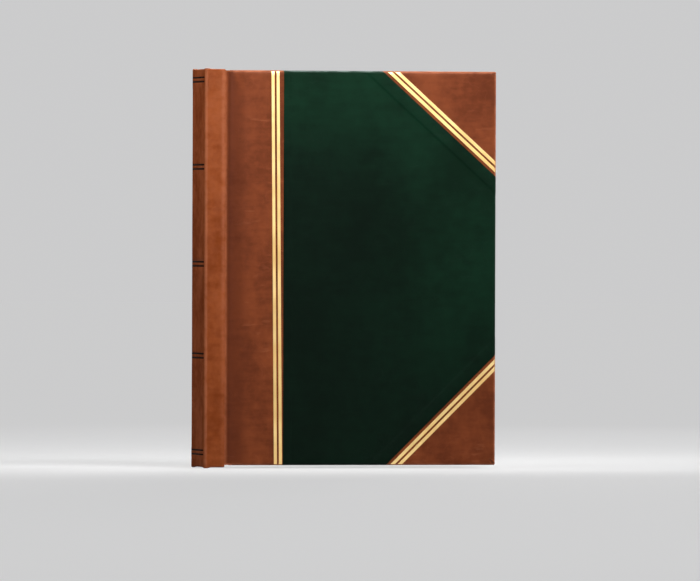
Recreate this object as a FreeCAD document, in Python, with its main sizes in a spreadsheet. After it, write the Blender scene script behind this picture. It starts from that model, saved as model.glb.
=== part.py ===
import FreeCAD, Part
import os

# Half-leather loose-leaf stamp album, closed and standing upright on its tail.
# The frame has its origin at the middle of the footprint: +X runs from the spine to the
# fore-edge, -Y is the front cover, +Z is up. All sizes are in millimetres.
# The back half is the mirror image of the front half in the plane Y = 0.

DRIVING_SIZES = [
    ("album_height", 305.0, "head to tail of the case"),
    ("album_width", 230.0, "spine face to fore-edge"),
    ("leaf_count", 12, "stock leaves bound in the spine"),
    ("stub_thick", 2.55, "punched stub of one leaf, which sets the leaf spacing"),
    ("leather_thick", 0.9, "leather and leatherette of the case"),
    ("board_thick", 3.0, "cover board"),
    ("lining_thick", 0.5, "turn-ins and endpaper inside a cover"),
    ("cover_gap", 0.3, "closed cover to the plane of the outermost stub"),
    ("strip_rise", 2.5, "hinge strip above the face of the cover"),
    ("hinge_strip_width", 17.0, "spine face to the outer edge of the hinge strip"),
    ("hinge_board_thick", 3.0, "stiffener of the hinge strip"),
    ("spine_board_thick", 2.0, "stiffener of the spine"),
    ("groove_width", 4.0, "hinge strip to cover"),
    ("groove_depth", 1.0, "floor of the joint below the face of the cover"),
    ("fit_gap", 0.05, "between pieces glued side by side"),
    ("band_width", 62.5, "spine face to the edge of the leather on the cover"),
    ("head_corner_width", 87.8, "leather corner at the head, along the edge"),
    ("head_corner_height", 82.0, "leather corner at the head, down the fore-edge"),
    ("tail_corner_width", 85.0, "leather corner at the tail, along the edge"),
    ("tail_corner_height", 84.3, "leather corner at the tail, up the fore-edge"),
    ("turn_in", 15.0, "covering folded over the inside of a board"),
    ("band_underlap", 5.6, "leather of the spine under the siding"),
    ("corner_underlap", 9.4, "leather of a corner under the siding"),
    ("siding_step", 0.25, "drop of the siding off the hidden leather"),
    ("edge_round", 1.4, "outer edges of a cover"),
    ("strip_round", 0.8, "ends and joint edge of the hinge strip"),
    ("spine_round", 1.8, "corners of the spine"),
    ("gilt_rim", 2.0, "bare leather outside the gilt lines"),
    ("gilt_width", 2.8, "one gilt line"),
    ("gilt_gap", 1.1, "between the two gilt lines"),
    ("gilt_thick", 0.06, "gilt foil"),
    ("rule_1_drop", 8.5, "highest pair of dark spine rules, down from the head"),
    ("rule_2_drop", 75.1, "second pair, down from the head"),
    ("rule_3_rise", 3.3, "third pair, up from the middle of the spine"),
    ("rule_4_height", 85.7, "fourth pair, up from the tail"),
    ("rule_5_height", 12.0, "lowest pair, up from the tail"),
    ("rule_pitch", 3.2, "between the two rules of a pair"),
    ("rule_width", 1.2, "one rule"),
    ("rule_depth", 0.3, "rule pressed into the leather"),
    ("rule_foil", 0.1, "dark foil in the bottom of a rule"),
    ("rule_margin", 2.2, "end of a rule to the corner of the spine"),
    ("leaf_square", 4.0, "covers beyond the leaves at head, tail and fore-edge"),
    ("stub_inset", 0.5, "clamp strips and stubs clear of the spine board"),
    ("clamp_inset", 0.6, "clamp strip back from the edge of the hinge board"),
    ("linen_thick", 0.3, "linen hinge of a leaf"),
    ("linen_length", 10.0, "free linen between stub and card"),
    ("linen_hold", 6.0, "linen glued between the cards of a leaf"),
    ("linen_gap", 0.25, "stub to the turning line of a leaf"),
    ("card_thick", 1.3, "black card of a leaf"),
    ("film_thick", 0.2, "clear strip on a leaf"),
    ("film_height", 31.0, "one clear strip"),
    ("film_gap", 2.0, "least gap between strips, which sets how many fit on a leaf"),
    ("film_margin", 5.0, "strips in from the edges of the card"),
    ("sheet_thick", 0.1, "glassine interleaf"),
    ("sheet_gap", 0.05, "interleaf to the strips behind it"),
    ("sheet_inset", 1.5, "interleaf in from the edges of the card"),
    ("post_spacing", 100.0, "between the screw posts"),
    ("post_outer", 5.0, "barrel of a screw post"),
    ("head_wall", 0.85, "clamp strip left beside the sunk head of a post"),
    ("post_head_thick", 1.2, "heads of a screw post"),
    ("post_play", 0.2, "hole to barrel, all round"),
    ("screw_shank", 3.4, "screw of a post"),
    ("screw_length", 15.0, "screw of a post, under its head"),
    ("screw_play", 0.1, "screw to the bore of its barrel, all round"),
    ("barrel_short", 1.4, "barrel short of the screw's head"),
    ("slot_width", 1.4, "driver slot in a post's head"),
    ("slot_depth", 0.6, "driver slot in a post's head"),
]

POST_STEPS = (-1, 0, 1)
PUNCH_SIDES = 16
OVERSHOOT = 5.0
ON_PLANE = 1e-4
ORIGIN = FreeCAD.Vector(0, 0, 0)

doc = FreeCAD.newDocument("stamp_album")
sheet = doc.addObject("Spreadsheet::Sheet", "Dims")
for row, (alias, value, meaning) in enumerate(DRIVING_SIZES, start=1):
    sheet.set(f"A{row}", meaning)
    sheet.set(f"B{row}", str(value))
    sheet.setAlias(f"B{row}", alias)
doc.recompute()

# Planes of the album, worked out from the driving sizes. Distances from the middle plane
# are positive here, and the front pieces take them with a minus sign.
SPINE_X = "(-Dims.album_width / 2)"
FORE_X = "(Dims.album_width / 2)"
TAIL_Z = "0"
HEAD_Z = "Dims.album_height"
STACK_HALF = "(Dims.leaf_count * Dims.stub_thick / 2)"
COVER_IN = f"({STACK_HALF} + Dims.cover_gap)"
BOARD_IN = f"({COVER_IN} + Dims.lining_thick)"
BOARD_OUT = f"({BOARD_IN} + Dims.board_thick)"
COVER_OUT = f"({BOARD_OUT} + Dims.leather_thick)"
STRIP_OUT = f"({COVER_OUT} + Dims.strip_rise)"
HINGE_BOARD_OUT = f"({STRIP_OUT} - Dims.leather_thick)"
HINGE_BOARD_IN = f"({HINGE_BOARD_OUT} - Dims.hinge_board_thick)"
SPINE_BOARD_X = f"({SPINE_X} + Dims.leather_thick)"
SPINE_INNER_X = f"({SPINE_BOARD_X} + Dims.spine_board_thick)"
STRIP_EDGE_X = f"({SPINE_X} + Dims.hinge_strip_width)"
HINGE_BOARD_EDGE_X = f"({STRIP_EDGE_X} - Dims.leather_thick)"
COVER_X = f"({STRIP_EDGE_X} + Dims.groove_width)"
BOARD_X = f"({COVER_X} + Dims.leather_thick)"
BAND_X = f"({SPINE_X} + Dims.band_width)"
STUB_X = f"({SPINE_INNER_X} + Dims.stub_inset)"
STUB_EDGE_X = COVER_X
CREASE_X = f"({STUB_EDGE_X} + Dims.linen_gap)"
CARD_X = f"({CREASE_X} + Dims.linen_length)"
CARD_EDGE_X = f"({FORE_X} - Dims.leaf_square)"
LEAF_LOW_Z = "Dims.leaf_square"
LEAF_HIGH_Z = "(Dims.album_height - Dims.leaf_square)"
CLAMP_EDGE_X = f"({HINGE_BOARD_EDGE_X} - Dims.clamp_inset)"
POST_X = f"(({STUB_X} + {CLAMP_EDGE_X}) / 2)"
POST_HEAD = f"({CLAMP_EDGE_X} - {STUB_X} - 2 * (Dims.head_wall + Dims.post_play))"
BORE_LOW_Z = "Dims.leather_thick"
BORE_HIGH_Z = "(Dims.album_height - Dims.leather_thick)"
RULE_HEIGHTS = (
    f"({HEAD_Z} - Dims.rule_1_drop)",
    f"({HEAD_Z} - Dims.rule_2_drop)",
    f"({HEAD_Z} / 2 + Dims.rule_3_rise)",
    "Dims.rule_4_height",
    "Dims.rule_5_height",
)

album_parts = []


def size(alias):
    """Return a driving size as a plain number."""
    return float(sheet.get(alias))


def keep(obj):
    """List an object as a sub-part of the album and return it."""
    album_parts.append(obj)
    return obj


def box(label, x_span, y_span, z_span):
    """Return a box between pairs of expressions for its low and high planes."""
    obj = doc.addObject("Part::Box", label)
    spans = zip(("Length", "Width", "Height"), ("x", "y", "z"), (x_span, y_span, z_span))
    for length, axis, (low, high) in spans:
        obj.setExpression(length, f"({high}) - ({low})")
        obj.setExpression(f"Placement.Base.{axis}", low)
    return obj


def lay_along_y(obj, x_place, y_span, z_place):
    """Turn an upright solid to lie along Y between two planes, and return it."""
    low, high = y_span
    turn = FreeCAD.Rotation(FreeCAD.Vector(1, 0, 0), -90)
    obj.Placement = FreeCAD.Placement(ORIGIN, turn)
    obj.setExpression("Height", f"({high}) - ({low})")
    obj.setExpression("Placement.Base.x", x_place)
    obj.setExpression("Placement.Base.y", low)
    obj.setExpression("Placement.Base.z", z_place)
    return obj


def rod(label, diameter, x_place, y_span, z_place):
    """Return a cylinder that lies along Y between two planes."""
    obj = doc.addObject("Part::Cylinder", label)
    obj.setExpression("Radius", f"({diameter}) / 2")
    return lay_along_y(obj, x_place, y_span, z_place)


def punch(label, diameter, x_place, y_span, z_place):
    """Return a many-sided prism along Y, for a hole that is repeated in every stub."""
    obj = doc.addObject("Part::Prism", label)
    obj.Polygon = PUNCH_SIDES
    obj.setExpression("Circumradius", f"({diameter}) / 2")
    return lay_along_y(obj, x_place, y_span, z_place)


def cut(label, base, *tools):
    """Return base with each tool cut away."""
    for tool in tools:
        step = label if tool is tools[-1] else f"{label}_less_{tool.Name}"
        result = doc.addObject("Part::Cut", step)
        result.Base = base
        result.Tool = tool
        base = result
    return base


def common(label, base, tool):
    """Return what base and tool share."""
    result = doc.addObject("Part::Common", label)
    result.Base = base
    result.Tool = tool
    return result


def fuse(label, *shapes):
    """Return several shapes joined into one solid."""
    result = doc.addObject("Part::MultiFuse", label)
    result.Shapes = list(shapes)
    result.Refine = True
    return result


def group(label, members):
    """Return several separate solids that share one node."""
    result = doc.addObject("Part::Compound", label)
    result.Links = list(members)
    return result


def mirrored(label, source):
    """Return the back cover's copy of a front piece."""
    result = doc.addObject("Part::Mirroring", label)
    result.Source = source
    result.Base = ORIGIN
    result.Normal = FreeCAD.Vector(0, 1, 0)
    return result


def edges_on(shape, *sides):
    """Return the numbers of the edges that lie on all the named sides of a shape's box."""
    found = []
    for number, edge in enumerate(shape.Edges, start=1):
        inside = True
        for side in sides:
            plane = getattr(shape.BoundBox, side)
            low = getattr(edge.BoundBox, side[0] + "Min")
            high = getattr(edge.BoundBox, side[0] + "Max")
            inside = inside and abs(low - plane) < ON_PLANE and abs(high - plane) < ON_PLANE
        if inside:
            found.append(number)
    return found


def rounded(label, base, radii):
    """Return base with chosen edges rounded, where radii maps an edge's number to its radius."""
    result = doc.addObject("Part::Fillet", label)
    result.Base = base
    result.Edges = [(number, radius, radius) for number, radius in sorted(radii.items())]
    return result


def corner_prism(label, end, width, height):
    """Return a triangular prism in a fore-edge corner of the front cover.

    end is "head" or "tail", and width and height are its legs along the edges.
    """
    reach = f"({STRIP_OUT} + {OVERSHOOT})"
    obj = doc.addObject("Part::Wedge", label)
    for name in ("Xmin", "Ymin", "Zmin", "X2min", "Z2min", "X2max"):
        setattr(obj, name, 0)
    obj.setExpression("Xmax", width)
    obj.setExpression("Ymax", height)
    obj.setExpression("Zmax", reach)
    obj.setExpression("Z2max", reach)
    up = -1 if end == "head" else 1
    toward_spine = FreeCAD.Vector(-1, 0, 0)
    along_edge = FreeCAD.Vector(0, 0, up)
    turn = FreeCAD.Rotation(toward_spine, along_edge, toward_spine.cross(along_edge), "XYZ")
    obj.Placement = FreeCAD.Placement(ORIGIN, turn)
    obj.setExpression("Placement.Base.x", FORE_X)
    obj.setExpression("Placement.Base.y", "0" if end == "head" else f"-{reach}")
    obj.setExpression("Placement.Base.z", HEAD_Z if end == "head" else TAIL_Z)
    return obj


def shifted_corner(label, end, shift):
    """Return a corner prism whose slanting edge is moved toward the corner by shift."""
    width = f"Dims.{end}_corner_width"
    height = f"Dims.{end}_corner_height"
    slant = f"sqrt({width} ^ 2 + {height} ^ 2)"
    shorter_width = f"({width} - ({shift}) * {slant} / {height})"
    shorter_height = f"({height} - ({shift}) * {slant} / {width})"
    return corner_prism(label, end, shorter_width, shorter_height)


def span_of(low, high, extra=OVERSHOOT):
    """Return a span that runs past both planes, for a cutting tool."""
    return (f"({low}) - {extra}", f"({high}) + {extra}")


def front(inner, outer):
    """Return the Y span of a front piece between two distances from the middle plane."""
    return (f"-({outer})", f"-({inner})")


def both(reach):
    """Return the Y span of a piece that reaches as far to the front as to the back."""
    return (f"-({reach})", reach)


# Spine: leather folded round a stiff spine board and two hinge boards.
BOARD_Z = (BORE_LOW_Z, BORE_HIGH_Z)
keep(box("spine_board", (SPINE_BOARD_X, SPINE_INNER_X), both(HINGE_BOARD_OUT), BOARD_Z))
hinge_board_y = front(HINGE_BOARD_IN, HINGE_BOARD_OUT)
hinge_board_x = (SPINE_INNER_X, HINGE_BOARD_EDGE_X)
front_hinge_board = keep(box("front_hinge_board", hinge_board_x, hinge_board_y, BOARD_Z))
keep(mirrored("back_hinge_board", front_hinge_board))


def build_spine_leather():
    """Make the leather of the spine with its pressed rules, and the dark foil in the rules."""
    block = box("spine_block", (SPINE_X, STRIP_EDGE_X), both(STRIP_OUT), (TAIL_Z, HEAD_Z))
    doc.recompute()
    shape = block.Shape
    radii = {}
    for side in ("YMin", "YMax"):
        for number in edges_on(shape, side):
            radii[number] = size("strip_round")
        for number in edges_on(shape, "XMin", side):
            radii[number] = size("spine_round")
    for end in ("ZMin", "ZMax"):
        for number in edges_on(shape, "XMin", end):
            radii[number] = size("strip_round")
    block = rounded("spine_block_rounded", block, radii)
    past_strip = f"{STRIP_EDGE_X} + {OVERSHOOT}"
    hollow_x = (SPINE_BOARD_X, past_strip)
    hollow = box("spine_hollow", hollow_x, both(HINGE_BOARD_OUT), BOARD_Z)
    throat_x = (SPINE_INNER_X, past_strip)
    throat = box("spine_throat", throat_x, both(HINGE_BOARD_IN), span_of(TAIL_Z, HEAD_Z))
    grooves, foils = [], []
    rule_reach = f"({STRIP_OUT} - Dims.rule_margin)"
    floor_x = f"({SPINE_X} + Dims.rule_depth)"
    for height in RULE_HEIGHTS:
        for side in ("-", "+"):
            middle = f"({height} {side} Dims.rule_pitch / 2)"
            z_span = (f"{middle} - Dims.rule_width / 2", f"{middle} + Dims.rule_width / 2")
            before_spine = f"{SPINE_X} - {OVERSHOOT}"
            grooves.append(box("rule_groove", (before_spine, floor_x), both(rule_reach), z_span))
            foil_x = f"({floor_x} - Dims.rule_foil)"
            foils.append(box("rule_foil", (foil_x, floor_x), both(rule_reach), z_span))
    keep(cut("spine_leather", block, hollow, throat, group("rule_grooves", grooves)))
    keep(group("spine_rules", foils))


build_spine_leather()


# Binding: two clamp strips and the punched stubs of the leaves, drawn together by screw posts.
POST_HEIGHTS = [f"(Dims.album_height / 2 + {step} * Dims.post_spacing)" for step in POST_STEPS]


def at_posts(label, tool, diameter, y_span):
    """Return one copy of a round tool, rod or punch, on the axis of each screw post."""
    copies = [tool(f"{label}_one", diameter, POST_X, y_span, place) for place in POST_HEIGHTS]
    return group(label, copies)


HOLE = "(Dims.post_outer + 2 * Dims.post_play)"
SINK = f"({POST_HEAD} + 2 * Dims.post_play)"
HEAD_FLOOR = f"({HINGE_BOARD_IN} - Dims.post_head_thick)"
through_binding = span_of(f"-{STRIP_OUT}", STRIP_OUT)
clamp_holes = at_posts("clamp_holes", rod, HOLE, through_binding)
stub_holes = at_posts("stub_holes", punch, HOLE, through_binding)
sink_y = front(HEAD_FLOOR, f"{HINGE_BOARD_IN} + {OVERSHOOT}")
head_sinks = at_posts("head_sinks", rod, SINK, sink_y)
leaf_z = (LEAF_LOW_Z, LEAF_HIGH_Z)
clamp_y = front(STACK_HALF, HINGE_BOARD_IN)
clamp_blank = box("clamp_blank", (STUB_X, CLAMP_EDGE_X), clamp_y, leaf_z)
front_clamp = keep(cut("front_clamp_strip", clamp_blank, clamp_holes, head_sinks))
keep(mirrored("back_clamp_strip", front_clamp))

LEAF_NUMBERS = range(1, int(size("leaf_count")) + 1)


def leaf_plane(number):
    """Return the distance of a leaf's middle plane from that of the album, to the back."""
    return f"(({number} - 0.5) * Dims.stub_thick - {STACK_HALF})"


def around(plane, thickness):
    """Return the Y span of a sheet of some thickness about a plane."""
    return (f"{plane} - {thickness} / 2", f"{plane} + {thickness} / 2")


stubs = []
for leaf_number in LEAF_NUMBERS:
    stub_span = around(leaf_plane(leaf_number), "Dims.stub_thick")
    blank = box("stub_blank", (STUB_X, STUB_EDGE_X), stub_span, leaf_z)
    stubs.append(cut("stub", blank, stub_holes))
keep(group("leaf_stubs", stubs))


def build_posts():
    """Make the barrels, headed at the front, and the screws, headed at the back."""
    barrels, screws = [], []
    bore_floor = f"({HEAD_FLOOR} - Dims.screw_length - Dims.barrel_short)"
    bore = "(Dims.screw_shank + 2 * Dims.screw_play)"
    slot_front = front(f"{HINGE_BOARD_IN} - Dims.slot_depth", f"{HINGE_BOARD_IN} + {OVERSHOOT}")
    slot_back = (f"{HINGE_BOARD_IN} - Dims.slot_depth", f"{HINGE_BOARD_IN} + {OVERSHOOT}")
    for place in POST_HEIGHTS:
        x_slot = (f"{POST_X} - {POST_HEAD}", f"{POST_X} + {POST_HEAD}")
        z_slot = (f"{place} - Dims.slot_width / 2", f"{place} + Dims.slot_width / 2")
        barrel_end = f"{HEAD_FLOOR} - Dims.barrel_short"
        head_y = front(HEAD_FLOOR, HINGE_BOARD_IN)
        head = rod("barrel_head", POST_HEAD, POST_X, head_y, place)
        tube = rod("barrel_tube", "Dims.post_outer", POST_X, (f"-{HEAD_FLOOR}", barrel_end), place)
        hole = rod("barrel_bore", bore, POST_X, (bore_floor, f"{HEAD_FLOOR} + {OVERSHOOT}"), place)
        slot = box("barrel_slot", x_slot, slot_front, z_slot)
        barrels.append(cut("barrel", fuse("barrel_blank", head, tube), hole, slot))
        cap = rod("screw_head", POST_HEAD, POST_X, (HEAD_FLOOR, HINGE_BOARD_IN), place)
        shank_span = (f"{HEAD_FLOOR} - Dims.screw_length", HEAD_FLOOR)
        shank = rod("screw_shank", "Dims.screw_shank", POST_X, shank_span, place)
        slot = box("screw_slot", x_slot, slot_back, z_slot)
        screws.append(cut("screw", fuse("screw_blank", cap, shank), slot))
    keep(group("post_barrels", barrels))
    keep(group("post_screws", screws))


build_posts()


# Covers: one wrap of covering round the board, divided into leather band, corners and siding.
def build_cover():
    """Make the pieces of the front cover and return them by name."""
    board_x = (BOARD_X, f"{FORE_X} - Dims.leather_thick")
    board = box("front_board", board_x, front(BOARD_IN, BOARD_OUT), BOARD_Z)
    slab = box("cover_slab", (COVER_X, FORE_X), front(COVER_IN, COVER_OUT), (TAIL_Z, HEAD_Z))
    doc.recompute()
    shape = slab.Shape
    radii = {number: size("edge_round") for number in edges_on(shape, "YMin")}
    radii.update({number: size("strip_round") for number in edges_on(shape, "YMin", "XMin")})
    for end in ("ZMin", "ZMax"):
        radii.update({number: size("edge_round") for number in edges_on(shape, "XMax", end)})
    slab = rounded("cover_slab_rounded", slab, radii)
    window_z = (f"{TAIL_Z} + Dims.turn_in", f"{HEAD_Z} - Dims.turn_in")
    past_inside = front(f"{COVER_IN} - {OVERSHOOT}", BOARD_IN)
    before_cover = f"{COVER_X} - {OVERSHOOT}"
    window_x = (before_cover, f"{FORE_X} - Dims.turn_in")
    window = box("turn_in_window", window_x, past_inside, window_z)
    open_edge_y = front(f"{COVER_IN} - {OVERSHOOT}", BOARD_OUT)
    full_z = span_of(TAIL_Z, HEAD_Z)
    open_edge = box("open_edge", (before_cover, BOARD_X), open_edge_y, full_z)
    wrap = cut("cover_wrap", slab, board, window, open_edge)

    through = front("0", f"{STRIP_OUT} + {OVERSHOOT}")
    band = box("band_region", (before_cover, BAND_X), through, full_z)
    ends = ("head", "tail")
    prisms = [shifted_corner(f"{end}_corner_region", end, "0") for end in ends]
    leather = common("front_leather", wrap, band)
    corners = [common(f"{end}_corner", wrap, prism) for end, prism in zip(ends, prisms)]

    low_x = f"{BAND_X} + Dims.band_underlap"
    low_y = front(f"{COVER_OUT} - Dims.siding_step", f"{COVER_OUT} + {OVERSHOOT}")
    low_field = box("siding_field", (low_x, f"{FORE_X} + {OVERSHOOT}"), low_y, full_z)
    raised = [shifted_corner(f"{end}_underlap", end, "-Dims.corner_underlap") for end in ends]
    field = cut("siding_low_field", low_field, *raised)
    siding = cut("front_siding", wrap, band, *prisms, field)

    endpaper_edge = "(Dims.turn_in + Dims.fit_gap)"
    endpaper_z = (f"{TAIL_Z} + {endpaper_edge}", f"{HEAD_Z} - {endpaper_edge}")
    endpaper_x = (BOARD_X, f"{FORE_X} - {endpaper_edge}")
    endpaper = box("front_endpaper", endpaper_x, front(COVER_IN, BOARD_IN), endpaper_z)
    return {
        "board": board,
        "siding": siding,
        "leather": leather,
        "corners": group("front_corners", corners),
        "gilt_lines": build_gilt_lines(),
        "endpaper": endpaper,
        "joint_leather": build_joint_leather(),
    }


def build_gilt_lines():
    """Make the pairs of gilt lines beside the leather band's edge and across the corners."""
    foil_y = front(COVER_OUT, f"{COVER_OUT} + Dims.gilt_thick")
    foil_z = (f"{TAIL_Z} + Dims.edge_round", f"{HEAD_Z} - Dims.edge_round")
    sheet_of_foil = box("foil_field", (COVER_X, f"{FORE_X} - Dims.edge_round"), foil_y, foil_z)
    outer_edges = ("Dims.gilt_rim", "(Dims.gilt_rim + Dims.gilt_width + Dims.gilt_gap)")
    lines = []
    for outer_edge in outer_edges:
        inner_edge = f"({outer_edge} + Dims.gilt_width)"
        line_x = (f"{BAND_X} - {inner_edge}", f"{BAND_X} - {outer_edge}")
        lines.append(box("band_line", line_x, foil_y, foil_z))
        for end in ("head", "tail"):
            beyond = shifted_corner("line_outer", end, outer_edge)
            within = shifted_corner("line_inner", end, inner_edge)
            lines.append(common("corner_line", sheet_of_foil, cut("line_band", beyond, within)))
    return group("front_gilt_lines", lines)


def build_joint_leather():
    """Make the leather that dips into the joint between the hinge strip and the cover."""
    z_span = (f"{BORE_LOW_Z} + Dims.fit_gap", f"{BORE_HIGH_Z} - Dims.fit_gap")
    left = f"({HINGE_BOARD_EDGE_X} + Dims.fit_gap)"
    floor_out = f"({COVER_OUT} - Dims.groove_depth)"
    floor_in = f"({floor_out} - Dims.leather_thick)"
    leg_y = front(floor_in, f"{HINGE_BOARD_OUT} - Dims.fit_gap")
    leg = box("joint_leg", (left, f"{left} + Dims.leather_thick"), leg_y, z_span)
    floor_x = (left, f"{BOARD_X} - Dims.fit_gap")
    floor = box("joint_floor", floor_x, front(floor_in, floor_out), z_span)
    profile = fuse("joint_profile", leg, floor)
    doc.recompute()
    shape = profile.Shape
    inner_bend = size("leather_thick")
    outer_bend = 2 * inner_bend
    radii = {number: outer_bend for number in edges_on(shape, "XMin", "YMax")}
    inside_x = shape.BoundBox.XMin + inner_bend
    inside_y = shape.BoundBox.YMax - inner_bend
    for number, edge in enumerate(shape.Edges, start=1):
        middle = edge.CenterOfMass
        if abs(middle.x - inside_x) < ON_PLANE and abs(middle.y - inside_y) < ON_PLANE:
            radii[number] = inner_bend
    return rounded("front_joint_leather", profile, radii)


for piece_name, piece in build_cover().items():
    keep(piece)
    keep(mirrored(f"back_{piece_name}", piece))


# Leaves: black card on a linen hinge, clear strips on both faces, glassine between the leaves.
def count_rows():
    """Return how many clear strips fit one above the other on a leaf."""
    room = size("album_height") - 2 * (size("leaf_square") + size("film_margin"))
    return int((room + size("film_gap")) / (size("film_height") + size("film_gap")))


FILM_ROWS = count_rows()


def build_leaf(number):
    """Make one stock leaf, its clear strips and the interleaf that lies behind it."""
    plane = leaf_plane(number)
    linen_x = (CREASE_X, f"{CARD_X} + Dims.linen_hold")
    linen = box("linen", linen_x, around(plane, "Dims.linen_thick"), leaf_z)
    card = box("card", (CARD_X, CARD_EDGE_X), around(plane, "Dims.card_thick"), leaf_z)
    keep(fuse(f"leaf_{number:02d}", linen, card))

    strips = []
    first_z = f"({LEAF_LOW_Z} + Dims.film_margin)"
    last_z = f"({LEAF_HIGH_Z} - Dims.film_margin - Dims.film_height)"
    film_x = (f"{CARD_X} + Dims.film_margin", f"{CARD_EDGE_X} - Dims.film_margin")
    card_face = "Dims.card_thick / 2"
    film_face = "(Dims.card_thick / 2 + Dims.film_thick)"
    faces = (
        (f"{plane} - {film_face}", f"{plane} - {card_face}"),
        (f"{plane} + {card_face}", f"{plane} + {film_face}"),
    )
    for row in range(FILM_ROWS):
        low = f"({first_z} + ({last_z} - {first_z}) * {row} / {FILM_ROWS - 1})"
        for face in faces:
            strips.append(box("film", film_x, face, (low, f"{low} + Dims.film_height")))
    keep(group(f"film_strips_{number:02d}", strips))

    if number < len(LEAF_NUMBERS):
        near = f"({plane} + {film_face} + Dims.sheet_gap)"
        sheet_x = (f"{CARD_X} + Dims.sheet_inset", f"{CARD_EDGE_X} - Dims.sheet_inset")
        sheet_z = (f"{LEAF_LOW_Z} + Dims.sheet_inset", f"{LEAF_HIGH_Z} - Dims.sheet_inset")
        keep(box(f"interleaf_{number:02d}", sheet_x, (near, f"{near} + Dims.sheet_thick"), sheet_z))


for leaf_number in LEAF_NUMBERS:
    build_leaf(leaf_number)


# Every object is checked before any file is written.
doc.recompute()
for obj in doc.Objects:
    if "Invalid" in obj.State or "Error" in obj.State:
        raise RuntimeError(f"{obj.Label} failed: {obj.State}")
for obj in album_parts:
    if obj.Shape.isNull() or not obj.Shape.isValid() or not obj.Shape.Solids:
        raise RuntimeError(f"{obj.Label} has no valid solid")

os.makedirs("parts", exist_ok=True)
for obj in album_parts:
    obj.Shape.exportStep(f"parts/{obj.Label}.step")
    solids = len(obj.Shape.Solids)
    print(f"{obj.Label}: {solids} solid(s), {obj.Shape.Volume:.1f} mm3")
print(f"{len(album_parts)} sub-parts")
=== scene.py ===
"""Looks of a half-leather stamp album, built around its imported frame.

Everything is in metres in the frame's own axes: +X runs from the spine to the fore-edge, -Y is
out of the front cover and +Z is up. The back cover is the mirror image of the front one.
"""

import logging
import math
from dataclasses import dataclass, field
from enum import Enum
from typing import Callable, Iterable, Optional, Sequence, Union

import bmesh
import bpy
from bmesh.types import BMEdge, BMFace, BMVert
from mathutils import Euler, Matrix, Quaternion, Vector, noise


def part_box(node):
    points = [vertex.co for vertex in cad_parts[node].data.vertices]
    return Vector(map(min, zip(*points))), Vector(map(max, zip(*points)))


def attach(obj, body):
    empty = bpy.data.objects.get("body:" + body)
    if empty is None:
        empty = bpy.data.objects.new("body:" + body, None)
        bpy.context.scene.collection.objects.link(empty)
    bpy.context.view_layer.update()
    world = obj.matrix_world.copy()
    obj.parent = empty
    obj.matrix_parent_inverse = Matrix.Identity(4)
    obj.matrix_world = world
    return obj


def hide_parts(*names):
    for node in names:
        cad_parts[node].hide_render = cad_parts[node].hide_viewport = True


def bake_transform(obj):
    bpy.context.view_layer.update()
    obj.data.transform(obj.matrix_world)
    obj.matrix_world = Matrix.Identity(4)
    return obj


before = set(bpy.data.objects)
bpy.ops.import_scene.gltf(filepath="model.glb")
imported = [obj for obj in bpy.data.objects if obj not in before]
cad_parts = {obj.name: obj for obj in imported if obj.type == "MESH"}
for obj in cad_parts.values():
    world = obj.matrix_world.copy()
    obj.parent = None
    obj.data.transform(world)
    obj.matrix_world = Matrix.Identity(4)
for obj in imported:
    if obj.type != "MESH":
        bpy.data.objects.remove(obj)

MM = 0.001
TOUCH = 1e-6
ROUND_DIGITS = 6
SHARP_ANGLE = math.radians(38)
FOIL_ANGLE = math.radians(20)
LOG = logging.getLogger("stamp_album")

Pair = tuple[float, float]
Triple = tuple[float, float, float]
Colour = Triple
Socket = bpy.types.NodeSocket
Feed = Union[float, Sequence[float], Socket]


def smooth_step(low: float, high: float, value: float) -> float:
    """Ease a value from 0 at low to 1 at high.

    Args:
        low: Where the rise starts.
        high: Where the rise ends.
        value: The value to ease.

    Returns:
        A share from 0 to 1.
    """
    share = min(1.0, max(0.0, (value - low) / (high - low)))
    return share * share * (3.0 - 2.0 * share)


def srgb(red: int, green: int, blue: int) -> Colour:
    """Turn a colour of 0 to 255 as a screen shows it into a linear one."""
    return tuple(((part / 255 + 0.055) / 1.055) ** 2.4 for part in (red, green, blue))


def rgba(colour: Feed) -> Feed:
    """Give a plain colour its alpha, and leave a socket as it is."""
    return colour if isinstance(colour, Socket) else (*colour[:3], 1.0)


def node_points(node: str) -> list[Vector]:
    """List the corners of a CAD node's mesh."""
    return [vertex.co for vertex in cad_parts[node].data.vertices]


def members(node: str) -> list[Pair]:
    """List the lower and upper ends of a CAD node's equal members, in rising order."""
    places = sorted({round(point.z, ROUND_DIGITS) for point in node_points(node)})
    return list(zip(places[0::2], places[1::2]))


def steps(low: float, high: float, pitch: float) -> list[float]:
    """List evenly spaced places strictly between two ends."""
    count = max(1, round((high - low) / pitch))
    return [low + (high - low) * index / count for index in range(1, count)]


def link(name: str, data: bpy.types.ID) -> bpy.types.Object:
    """Make an object of a mesh, a light or a camera.

    Args:
        name: Name of the object.
        data: What it shows.

    Returns:
        The object, which is in the scene.
    """
    made = bpy.data.objects.new(name, data)
    bpy.context.scene.collection.objects.link(made)
    return made


def look_along(direction: Vector) -> Quaternion:
    """Return the turn that points a light or a camera along a direction."""
    return direction.to_track_quat("-Z", "Y")


class Side(Enum):
    """The two covers, by the way that each faces along Y."""

    FRONT = -1
    BACK = 1

    @property
    def word(self) -> str:
        """The word that starts the names of this side's nodes."""
        return self.name.lower()

    @property
    def body(self) -> str:
        """The body that this side's cover moves with."""
        return f"{self.word}_cover"


class Keep(Enum):
    """What a cut leaves of a form."""

    BOTH = 0
    BEHIND = 1
    AHEAD = 2


# Shader nodes


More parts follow.
